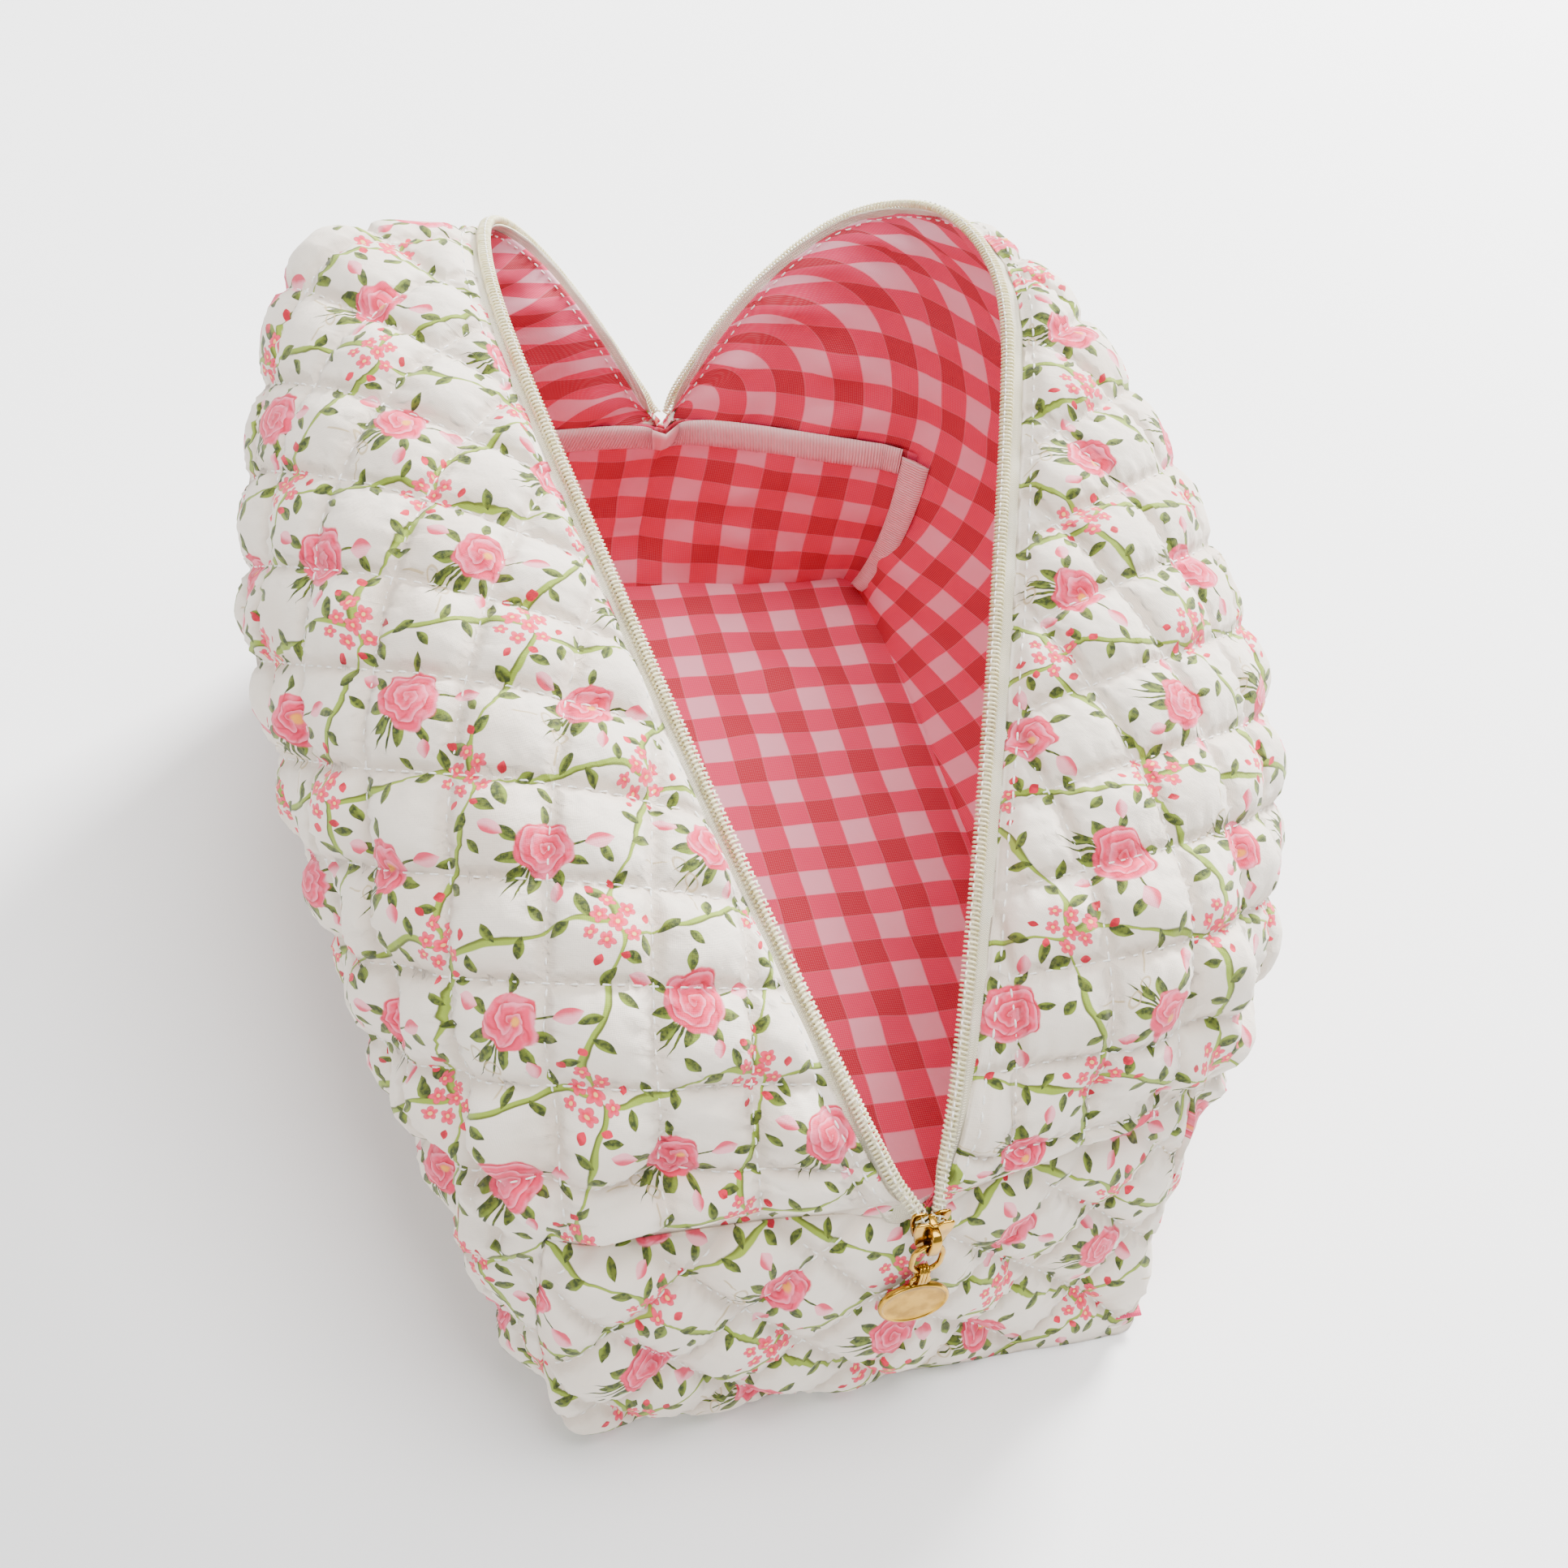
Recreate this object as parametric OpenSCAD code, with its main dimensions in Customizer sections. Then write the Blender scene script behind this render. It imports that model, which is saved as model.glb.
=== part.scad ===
// Soft quilted makeup bag with a two-way opening top, a coil zip and a hanging pull.
// Millimetres. Origin at the middle of the flat base, Z up.
// -Y is the end where the zip opens, +Y is the far end, +X is the right side.

/* [Base] */
// Width of the flat base, from side to side
base_w = 178; // [150:1:210]
// Length of the flat base, from end to end
base_l = 330; // [280:1:380]
// Corner radius of the base
base_r = 10; // [9:0.5:14]
// How far the base panel stays inside the wall line
base_inset = 8; // [7:0.5:10]

/* [Cloth layers] */
// Thickness of the outer cotton
outer_t = 0.8; // [0.5:0.1:1.2]
// Thickness of the quilt wadding behind the outer cotton
wadding_t = 3.2; // [2:0.1:4]
// Clear space between the wadding and the lining
lining_gap = 0.4; // [0.3:0.1:0.6]
// Thickness of the lining
lining_t = 0.8; // [0.5:0.1:1.2]
// Clear space between the lining and the seam tape
binding_gap = 1; // [0.8:0.1:1.4]
// Thickness of the folded seam tape on the inside
binding_t = 1.2; // [0.8:0.1:1.5]
// Width of the seam tape
binding_w = 12; // [8:1:16]

/* [Panels] */
// Height of the seam where each end panel stops
seam_z = 86; // [82:0.5:90]
// Clear space between neighbouring panels
panel_gap = 0.6; // [0.4:0.1:1]
// Share of one side of the bag, measured round the edge, that belongs to one end panel
end_share = 0.175; // [0.17:0.001:0.19]
// Where the stiff part of a side flap begins, as a share of the zip length
flap_from = 0.30; // [0.26:0.01:0.36]
// Where the stiff part of a side flap stops, as a share of the zip length
flap_to = 0.74; // [0.68:0.01:0.76]

/* [Zip] */
// Distance from the cloth edge to the teeth side edge of the zip tape
tape_show = 6.6; // [5:0.1:8]
// Thickness of the zip tape
tape_t = 0.6; // [0.4:0.1:0.8]
// Radius of the zip coil
coil_r = 1.5; // [1.2:0.1:1.8]

/* [Slider and pull] */
// Distance from the middle of the bag to the inner face of the slider
slider_y = 164; // [164:0.1:165]
// Height of the open channel in the slider
channel = 2.3; // [2:0.1:2.6]
// Wire thickness of the pull ring
ring_wire = 1.6; // [1.2:0.1:1.8]
// Middle radius of the round ends of the pull ring
ring_r = 4; // [3.6:0.1:4.4]
// Straight length between the round ends of the pull ring
ring_straight = 3; // [2:0.1:4]
// Width of the folded link
link_w = 2.8; // [2.2:0.1:3]
// Thickness of the link strip
link_t = 0.5; // [0.4:0.1:0.6]
// Distance between the two pins that the link joins
link_l = 3.4; // [3:0.1:4.5]
// Width of the oval charm
charm_w = 20; // [16:0.5:22]
// Height of the oval charm
charm_h = 17.5; // [14:0.5:19]
// Thickness of the raised rim of the charm
charm_t = 1.8; // [1.4:0.1:2]
// How far the pull leans out from upright
pull_lean = 5; // [4:0.5:7]

/* [Hidden] */

// Colours of the cloth, the zip and the metal
ivory = [0.93, 0.90, 0.84];
white = [0.97, 0.97, 0.95];
check_red = [0.82, 0.35, 0.38];
tape_cream = [0.95, 0.92, 0.84];
bind_pink = [0.93, 0.83, 0.80];
gold = [0.83, 0.66, 0.33];

// Depths below the outer face at which each layer starts and stops
d_outer = [0, outer_t];
d_wadding = [outer_t, outer_t + wadding_t];
d_quilt = [0, outer_t + wadding_t];
d_lining = [d_quilt[1] + lining_gap, d_quilt[1] + lining_gap + lining_t];
d_binding = [d_lining[1] + binding_gap, d_lining[1] + binding_gap + binding_t];
d_tape = [1, 1 + tape_t];

// Half a panel gap, as a share of the way round one side
gap_t = panel_gap / 1000;
half_w = base_w / 2;
half_l = base_l / 2;

// ---- Shape of the bag ----
// Side 0 is the left side and side 1 is the right side.
// t runs from 0 at the near end to 1 at the far end, v runs from 0 at the base to 1 at the zip edge.
side_sign = [-1, 1];

// The edge of the opening on each side: two joined curves, each with four control points
near_tip = [0, 4 - half_l, 88];
far_tip = [0, half_l - 4, 86];
left_keys = [
  near_tip, [-30, -160, 135], [-75, 74, 190], [-75, 84, 190],
  [-77, 190, 187], [-40, 165, 157], far_tip
];
right_keys = [
  near_tip, [5, -160, 122], [76, 72, 193], [77, 84, 194],
  [84, 192, 198], [12, 165, 145], far_tip
];

function bez(p, s) =
  pow(1 - s, 3) * p[0] + 3 * s * pow(1 - s, 2) * p[1]
  + 3 * s * s * (1 - s) * p[2] + pow(s, 3) * p[3];

function edge_points(k) = [
  for (i = [0:80])
    i <= 40 ? bez([k[0], k[1], k[2], k[3]], i / 40) : bez([k[3], k[4], k[5], k[6]], (i - 40) / 40)
];

function run_lengths(p) = [
  for (i = 0, s = 0; i < len(p); s = s + (i + 1 < len(p) ? norm(p[i + 1] - p[i]) : 0), i = i + 1) s
];

edge_pts = [edge_points(left_keys), edge_points(right_keys)];
edge_run = [run_lengths(edge_pts[0]), run_lengths(edge_pts[1])];
edge_table = [
  for (m = [0, 1])
    [for (a = [0:2]) [for (i = [0:80]) [edge_run[m][i] / edge_run[m][80], edge_pts[m][i][a]]]]
];

function raw_edge(m, t) = [for (a = [0:2]) lookup(t, edge_table[m][a])];

// The edge curve, softened a little where the two curves join
function edge(m, t) =
  let (w = min(0.05, min(t, 1 - t)))
  (raw_edge(m, t - w) + 2 * raw_edge(m, t - w / 2) + 2 * raw_edge(m, t)
  + 2 * raw_edge(m, t + w / 2) + raw_edge(m, t + w)) / 8;

// Outline of the base, walked from the near middle round one side to the far middle
straight_end = half_w - base_r;
corner_run = base_r * PI / 2;
straight_side = base_l - 2 * base_r;
end_run = straight_end + corner_run;

function base_walk(s) =
  s < straight_end ? [s, -half_l]
  : s < end_run
    ? let (q = (s - straight_end) / base_r * 180 / PI)
      [straight_end + base_r * sin(q), -half_l + base_r - base_r * cos(q)]
  : [half_w, -half_l + base_r + s - end_run];

function base_pt(m, t) =
  let (
    h = min(t, 1 - t),
    s = h < end_share ? h / end_share * end_run
      : end_run + (h - end_share) / (1 - 2 * end_share) * straight_side,
    p = base_walk(s)
  )
  [side_sign[m] * p[0], t < 0.5 ? p[1] : -p[1], 0];

// Fullness of the side walls: two rows of control points for each side
// x at the corners, extra x at the middle, y at the corners, z
low_row = [[114, 49, 184, 60], [98, 112, 124, 64]];
// x at the corners, extra x at the middle, y at the corners, z, extra z, y shift, z slope, x slope
high_row = [[124, 58, 126, 172, 46, 38, -10, 18], [98, 26, 150, 194, 10, -24, 20, 0]];
// Fullness of the end walls: y and z of the two control points at the middle
low_end = [174, 30];
high_end = [172, 60];

function raw_controls(m, t) =
  let (
    g = side_sign[m],
    s = max(-1, min(1, (t - 0.5) / (0.5 - end_share))),
    b = 1 - s * s,
    e = min(1, min(t, 1 - t) / end_share),
    e2 = pow(e, 1.15),
    k = t < 0.5 ? -1 : 1,
    a = low_row[m],
    c = high_row[m],
    p1 = [g * (a[0] + a[1] * b), a[2] * s, a[3]],
    p2 = [g * (c[0] + c[1] * b + c[7] * s), c[2] * s + c[5] * b, c[3] + c[4] * b + c[6] * s],
    c1 = [0, k * low_end[0], low_end[1]],
    c2 = [0, k * high_end[0], high_end[1]]
  )
  [c1 * (1 - e) + p1 * e, c2 * (1 - e2) + p2 * e2];

// The control rows with the corner crease rounded off
function controls(m, t) =
  let (
    w = min(0.025, min(t, 1 - t)),
    a = raw_controls(m, t - w),
    b = raw_controls(m, t),
    c = raw_controls(m, t + w)
  )
  [(a[0] + 2 * b[0] + c[0]) / 4, (a[1] + 2 * b[1] + c[1]) / 4];

// One column of the wall: its four control points
function column(m, t) = let (c = controls(m, t)) [base_pt(m, t), c[0], c[1], edge(m, t)];

// u runs round the bag: 0 at the near end, positive on the right side, negative on the left side.
// Past 1 it carries on round the far end onto the left side.
function u_side(u) = (u < 0 || u > 1) ? 0 : 1;
function u_share(u) = u > 1 ? 2 - u : abs(u);
function wall_col(u) = column(u_side(u), u_share(u));

step = 0.002;

// A point at depth d below the outer face, from the column and its two neighbours
function skin_point(col, before, after, v, d) =
  let (
    p = bez(col, v),
    du = bez(after, v) - bez(before, v),
    lo = max(0, v - step),
    hi = min(1, v + step),
    dv = bez(col, hi) - bez(col, lo),
    n = cross(du, dv)
  )
  p - n / norm(n) * d;

// v at which a column reaches height z on its way up, found by halving between lo and hi
function v_find(col, z, lo, hi, n = 14) =
  n == 0 ? (lo + hi) / 2
  : let (mid = (lo + hi) / 2)
    bez(col, mid)[2] < z ? v_find(col, z, mid, hi, n - 1) : v_find(col, z, lo, mid, n - 1);

// Near the tips of the opening the wall is low, so the search there runs closer to the edge
function v_at(u, z) =
  let (h = min(u_share(u), 1 - u_share(u)))
  v_find(wall_col(u), z, 0, 1 - 2.5 * min(h, 0.1));

// v at which column u is at distance e from the zip edge, measured square to the edge
function v_edge(u, e) =
  let (
    col = wall_col(u),
    run = wall_col(u + step)[3] - wall_col(u - step)[3]
  )
  v_near_edge(col, run / norm(run), e, 0.4, 1, 12);
function v_near_edge(col, along, e, lo, hi, n) =
  n == 0 ? (lo + hi) / 2
  : let (mid = (lo + hi) / 2)
    norm(cross(bez(col, mid) - col[3], along)) > e ? v_near_edge(col, along, e, mid, hi, n - 1)
    : v_near_edge(col, along, e, lo, mid, n - 1);

// Height up the column, as v, at which the stiff part of a flap stops
flap_top = [0.93, 0.87];
flap_fall = [0.5, 0.8];
function v_flap(m, t) = flap_top[m] - flap_fall[m] * pow(t - 0.58, 2);

// v of row j out of nv. With a foot, the first row is at the base and the rest share the range.
function row_v(r, j, nv, foot) =
  foot ? (j == 0 ? 0 : r[1] + (r[2] - r[1]) * (j - 1) / (nv - 1))
  : r[1] + (r[2] - r[1]) * j / nv;

// A closed sheet between two depths. rows holds [u, v at the bottom, v at the top] for each column.
module sheet(rows, d, nv, foot = false) {
  n = len(rows);
  w = nv + 1;
  cols = [for (r = rows) [wall_col(r[0]), wall_col(r[0] - step), wall_col(r[0] + step)]];
  pts = [
    for (k = [0, 1])
      for (i = [0:n - 1])
        for (j = [0:nv])
          let (c = cols[i], v = row_v(rows[i], j, nv, foot))
          skin_point(c[0], c[1], c[2], v, d[k])
  ];
  in0 = n * w;
  faces = concat(
    [for (i = [0:n - 2]) for (j = [0:nv - 1]) [i * w + j, i * w + j + 1, (i + 1) * w + j + 1]],
    [for (i = [0:n - 2]) for (j = [0:nv - 1]) [i * w + j, (i + 1) * w + j + 1, (i + 1) * w + j]],
    [for (i = [0:n - 2]) for (j = [0:nv - 1])
      [in0 + i * w + j, in0 + (i + 1) * w + j + 1, in0 + i * w + j + 1]],
    [for (i = [0:n - 2]) for (j = [0:nv - 1])
      [in0 + i * w + j, in0 + (i + 1) * w + j, in0 + (i + 1) * w + j + 1]],
    [for (i = [0:n - 2]) [i * w, (i + 1) * w, in0 + (i + 1) * w]],
    [for (i = [0:n - 2]) [i * w, in0 + (i + 1) * w, in0 + i * w]],
    [for (i = [0:n - 2]) [i * w + nv, in0 + (i + 1) * w + nv, (i + 1) * w + nv]],
    [for (i = [0:n - 2]) [i * w + nv, in0 + i * w + nv, in0 + (i + 1) * w + nv]],
    [for (j = [0:nv - 1]) [j, in0 + j, in0 + j + 1]],
    [for (j = [0:nv - 1]) [j, in0 + j + 1, j + 1]],
    [for (j = [0:nv - 1]) [(n - 1) * w + j, in0 + (n - 1) * w + j + 1, in0 + (n - 1) * w + j]],
    [for (j = [0:nv - 1]) [(n - 1) * w + j, (n - 1) * w + j + 1, in0 + (n - 1) * w + j + 1]]
  );
  polyhedron(points = pts, faces = faces, convexity = 6);
}

function spread(a, b, n) = [for (i = [0:n]) a + (b - a) * i / n];

// u of a place on the left or right side
function side_u(m, t) = m == 1 ? t : -t;

// ---- Rows of each region ----
// Half of an end panel: close columns round the base corner, wider ones along the straight part
corner_share = end_share * corner_run / end_run;
end_half = concat(
  spread(gap_t - end_share, corner_share - end_share, 4),
  [for (i = [1:3]) (corner_share - end_share) * (1 - i / 4)]
);
end_spread = concat(end_half, [0], [for (i = [len(end_half) - 1:-1:0]) -end_half[i]]);

// Each panel layer starts at height low, so that the inner layers stay above the base
function panel_row(u, low) = [u, v_at(u, low), v_at(u, seam_z - panel_gap / 2)];
function end_rows(far, low) = [for (a = end_spread) panel_row(far ? 1 + a : a, low)];

// Columns of a side wall, closer together beside the corners
side_near = [for (a = [0, 0.008, 0.018, 0.032, 0.055]) end_share + gap_t + a];
side_spread = concat(
  side_near,
  spread(end_share + 0.09, 1 - end_share - 0.09, 12),
  [for (i = [len(side_near) - 1:-1:0]) 1 - side_near[i]]
);
function side_rows(m, low) = [
  for (a = side_spread) panel_row(side_u(m, m == 1 ? a : 1 - a), low)
];

function flap_rows(m, n) = [
  for (a = spread(flap_from + 2.4 * gap_t, flap_to - 2.4 * gap_t, n))
    let (t = m == 1 ? a : 1 - a + flap_from + flap_to - 1, u = side_u(m, t))
    [u, v_at(u, seam_z + panel_gap / 2), v_flap(m, t)]
];

shoulder_from = 0.03;
shoulder_ts = concat(
  spread(shoulder_from, flap_from - gap_t, 18),
  spread(flap_from + gap_t, flap_to - gap_t, 14),
  spread(flap_to + gap_t, 1 - shoulder_from, 18)
);

// The shoulder is the soft cloth all round the opening, above the seam and beside the flap
function shoulder_row(m, t) =
  let (
    u = side_u(m, t),
    low = (t > flap_from && t < flap_to) ? v_flap(m, t) + 0.004 : v_at(u, seam_z + panel_gap / 2)
  )
  [u, low, v_edge(u, tape_show + 1)];

function shoulder_rows(m) =
  let (n = len(shoulder_ts) - 1)
  [for (i = [0:n]) shoulder_row(m, shoulder_ts[m == 1 ? i : n - i])];

function tape_rows(m, n) = [
  for (a = spread(shoulder_from, 1 - shoulder_from, n))
    let (u = side_u(m, m == 1 ? a : 1 - a)) [u, v_edge(u, tape_show), v_edge(u, 0.4)]
];

function band_rows(u0, u1, z0, z1, n) = [
  for (u = spread(u0, u1, n)) [u, v_at(u, z0), v_at(u, z1)]
];

// ---- Base ----
module base_plate(z, t) {
  x = half_w - base_inset - base_r;
  y = half_l - base_inset - base_r;
  translate([0, 0, z])
    linear_extrude(t)
      union() {
        square([2 * x, 2 * y + 2 * base_r], center = true);
        square([2 * x + 2 * base_r, 2 * y], center = true);
        for (sx = [-1, 1])
          for (sy = [-1, 1])
            translate([sx * x, sy * y])
              circle(r = base_r, $fn = 48);
      }
}

module base_outer() {
  color(ivory)
    base_plate(0, outer_t);
}

module base_wadding() {
  color(white)
    base_plate(outer_t, wadding_t);
}

module base_lining() {
  color(check_red)
    base_plate(d_lining[0], lining_t);
}

// ---- End walls ----
end_steps = 7;
// Heights at which the wadding and the lining of the walls start
wadding_low = 3;
lining_low = 9;

module near_end_outer() {
  color(ivory)
    sheet(end_rows(false, wadding_low), d_outer, end_steps + 1, true);
}

module near_end_wadding() {
  color(white)
    sheet(end_rows(false, wadding_low), d_wadding, end_steps);
}

module near_end_lining() {
  color(check_red)
    sheet(end_rows(false, lining_low), d_lining, end_steps);
}

module far_end_outer() {
  color(ivory)
    sheet(end_rows(true, wadding_low), d_outer, end_steps + 1, true);
}

module far_end_wadding() {
  color(white)
    sheet(end_rows(true, wadding_low), d_wadding, end_steps);
}

module far_end_lining() {
  color(check_red)
    sheet(end_rows(true, lining_low), d_lining, end_steps);
}

// ---- Side walls ----
side_steps = 7;

module left_wall_outer() {
  color(ivory)
    sheet(side_rows(0, wadding_low), d_outer, side_steps + 1, true);
}

module left_wall_wadding() {
  color(white)
    sheet(side_rows(0, wadding_low), d_wadding, side_steps);
}

module left_wall_lining() {
  color(check_red)
    sheet(side_rows(0, lining_low), d_lining, side_steps);
}

module right_wall_outer() {
  color(ivory)
    sheet(side_rows(1, wadding_low), d_outer, side_steps + 1, true);
}

module right_wall_wadding() {
  color(white)
    sheet(side_rows(1, wadding_low), d_wadding, side_steps);
}

module right_wall_lining() {
  color(check_red)
    sheet(side_rows(1, lining_low), d_lining, side_steps);
}

// ---- Shoulders ----
shoulder_steps = 8;

module left_shoulder() {
  color(ivory)
    sheet(shoulder_rows(0), d_quilt, shoulder_steps);
}

module left_shoulder_lining() {
  color(check_red)
    sheet(shoulder_rows(0), d_lining, shoulder_steps);
}

module right_shoulder() {
  color(ivory)
    sheet(shoulder_rows(1), d_quilt, shoulder_steps);
}

module right_shoulder_lining() {
  color(check_red)
    sheet(shoulder_rows(1), d_lining, shoulder_steps);
}

// ---- Seam tapes on the inside ----
band_end = end_share - 0.022;
band_top = seam_z + 1;
band_low = band_top - binding_w;
corner_half = 0.012;
corner_low = 12;

// The seam tape of an end shares the columns of the end panel behind it
band_spread = concat([-band_end], [for (a = end_spread) if (abs(a) < band_end - 0.003) a], [band_end]);
function end_band_rows(far) = [
  for (a = band_spread)
    let (u = far ? 1 + a : a) [u, v_at(u, band_low), v_at(u, band_top)]
];

module near_end_binding() {
  color(bind_pink)
    sheet(end_band_rows(false), d_binding, 2);
}

module far_end_binding() {
  color(bind_pink)
    sheet(end_band_rows(true), d_binding, 2);
}

module corner_binding(u) {
  color(bind_pink)
    sheet(band_rows(u - corner_half, u + corner_half, corner_low, seam_z - 1, 2), d_binding, 8);
}

module near_left_binding() {
  corner_binding(-end_share);
}

module near_right_binding() {
  corner_binding(end_share);
}

module far_left_binding() {
  corner_binding(1 + end_share);
}

module far_right_binding() {
  corner_binding(1 - end_share);
}

// ---- Flaps ----
flap_cols = 12;
flap_steps = 6;

module left_flap_outer() {
  color(ivory)
    sheet(flap_rows(0, flap_cols), d_outer, flap_steps);
}

module left_flap_wadding() {
  color(white)
    sheet(flap_rows(0, flap_cols), d_wadding, flap_steps);
}

module left_flap_lining() {
  color(check_red)
    sheet(flap_rows(0, flap_cols), d_lining, flap_steps);
}

module right_flap_outer() {
  color(ivory)
    sheet(flap_rows(1, flap_cols), d_outer, flap_steps);
}

module right_flap_wadding() {
  color(white)
    sheet(flap_rows(1, flap_cols), d_wadding, flap_steps);
}

module right_flap_lining() {
  color(check_red)
    sheet(flap_rows(1, flap_cols), d_lining, flap_steps);
}

// ---- Zip tape and coil ----
tape_cols = 56;
coil_sides = 8;
coil_in = 1.8;
coil_lift = 0.8;

module left_zip_tape() {
  color(tape_cream)
    sheet(tape_rows(0, tape_cols), d_tape, 1);
}

module right_zip_tape() {
  color(tape_cream)
    sheet(tape_rows(1, tape_cols), d_tape, 1);
}

// A tube along the edge, made of one ring of points for each station
function coil_ring(u) =
  let (
    col = wall_col(u),
    before = wall_col(u - step),
    after = wall_col(u + step),
    v = v_edge(u, coil_in),
    c = skin_point(col, before, after, v, -coil_lift),
    n = (skin_point(col, before, after, v, -1 - coil_lift) - c),
    along = bez(after, v) - bez(before, v),
    out = cross(along, n) / norm(cross(along, n))
  )
  [
    for (k = [0:coil_sides - 1])
      let (a = k * 360 / coil_sides) c + coil_r * (cos(a) * n + sin(a) * out)
  ];

module coil_tube(m) {
  us = [for (a = spread(shoulder_from, 1 - shoulder_from, tape_cols)) side_u(m, m == 1 ? a : 1 - a)];
  n = len(us);
  q = coil_sides;
  pts = [for (u = us) each coil_ring(u)];
  sides = [
    for (i = [0:n - 2])
      for (k = [0:q - 1])
        for (h = [0, 1])
          h == 0 ? [i * q + k, i * q + (k + 1) % q, (i + 1) * q + k]
          : [i * q + (k + 1) % q, (i + 1) * q + (k + 1) % q, (i + 1) * q + k]
  ];
  caps = [
    [for (k = [0:q - 1]) q - 1 - k],
    [for (k = [0:q - 1]) (n - 1) * q + k]
  ];
  polyhedron(points = pts, faces = concat(sides, caps), convexity = 8);
}

module left_zip_coil() {
  color(tape_cream)
    coil_tube(0);
}

module right_zip_coil() {
  color(tape_cream)
    coil_tube(1);
}

// ---- Slider ----
plate_t = 0.9;
slider_top = 94;
slider_low = 82;
channel_y = slider_y + plate_t;
outer_plate_y = channel_y + channel;
outer_face_y = outer_plate_y + plate_t;
slider_outline = [
  [-2.6, 82], [2.6, 82], [3.6, 82.8], [4.3, 86], [5.4, 90], [5.4, 93.2], [4.6, 94],
  [2.4, 94], [1.2, 93], [-1.2, 93], [-2.4, 94], [-4.6, 94], [-5.4, 93.2], [-5.4, 90],
  [-4.3, 86], [-3.6, 82.8]
];
flange_outline = [[2.7, 82.6], [3.5, 82.8], [4.2, 86], [4.9, 88.6], [4, 88.6], [3.2, 86]];

// A flat piece in the plane of the slider, from distance y outwards
module slice(y, t) {
  translate([0, -y, 0])
    rotate([90, 0, 0])
      linear_extrude(t)
        children();
}

module slider_body() {
  color(gold)
    union() {
      slice(slider_y, plate_t)
        polygon(slider_outline);
      slice(outer_plate_y, plate_t)
        polygon(slider_outline);
      slice(channel_y - 0.05, channel + 0.1)
        translate([-0.8, 90.6])
          square([1.6, 2.3]);
      for (side = [0, 1])
        mirror([side, 0, 0]) {
          slice(channel_y - 0.05, 0.6)
            polygon(flange_outline);
          slice(outer_plate_y - 0.85, 0.9)
            polygon(flange_outline);
        }
    }
}

bridge_low = 82.6;
bridge_high = 91.8;
bridge_wall = 1.2;
tunnel = 2.4;
bridge_w = 2.4;

function arc_points(cx, cy, rx, ry, a0, a1, n) = [
  for (i = [0:n]) let (a = a0 + (a1 - a0) * i / n) [cx + rx * cos(a), cy + ry * sin(a)]
];

// Side profile of the bridge: how far it stands out, against height
bridge_profile = concat(
  [[0, bridge_low]],
  arc_points(tunnel - 0.8, bridge_low + 2, bridge_wall + 0.8, 2, -90, 0, 6),
  arc_points(tunnel - 0.8, bridge_high - 2, bridge_wall + 0.8, 2, 0, 90, 6),
  [[0, bridge_high], [0, bridge_high - bridge_wall]],
  arc_points(tunnel - 0.8, bridge_high - 2, 0.8, 0.8, 90, 0, 4),
  arc_points(tunnel - 0.8, bridge_low + 2, 0.8, 0.8, 0, -90, 4),
  [[0, bridge_low + bridge_wall]]
);

module slider_bridge() {
  color(gold)
    translate([-bridge_w / 2, -outer_face_y, 0])
      rotate([0, 0, 90])
        rotate([90, 0, 0])
          linear_extrude(bridge_w)
            mirror([1, 0])
              polygon(bridge_profile);
}

// ---- Pull ----
ring_axis_y = outer_face_y + 1.2;
ring_axis_z = 84.9;
ring_drop = 2 * ring_r + ring_straight;
link_hole = 1.3;
bail_wire = 1.2;
charm_pin = ring_drop + link_l;
disc_top = charm_pin + 2.6;

// Puts a piece drawn below the ring axis into its place on the bag
module on_pull() {
  translate([0, -ring_axis_y, ring_axis_z])
    rotate([-pull_lean, 0, 0])
      children();
}

module half_torus(r, wire, a) {
  rotate([90, 0, 0])
    rotate([0, 0, a])
      rotate_extrude(angle = 180, $fn = 48)
        translate([r, 0])
          circle(d = wire, $fn = 20);
}

module pull_ring() {
  color(gold)
    on_pull()
      union() {
        translate([0, 0, -ring_r])
          half_torus(ring_r, ring_wire, 0);
        translate([0, 0, -ring_r - ring_straight])
          half_torus(ring_r, ring_wire, 180);
        for (side = [-1, 1])
          translate([side * ring_r, 0, -ring_r - ring_straight])
            cylinder(d = ring_wire, h = ring_straight, $fn = 20);
      }
}

// A long hole shape with round ends, from height 0 down to -l
module slot_shape(r, l) {
  circle(r = r, $fn = 32);
  translate([0, -l])
    circle(r = r, $fn = 32);
  translate([-r, -l])
    square([2 * r, l]);
}

module pull_link() {
  color(gold)
    on_pull()
      translate([-link_w / 2, 0, -ring_drop])
        rotate([0, 0, 90])
          rotate([90, 0, 0])
            linear_extrude(link_w)
              difference() {
                slot_shape(link_hole + link_t, link_l);
                slot_shape(link_hole, link_l);
              }
}

bail_half = 1.2;
bail_corner = 1.2;

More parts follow.
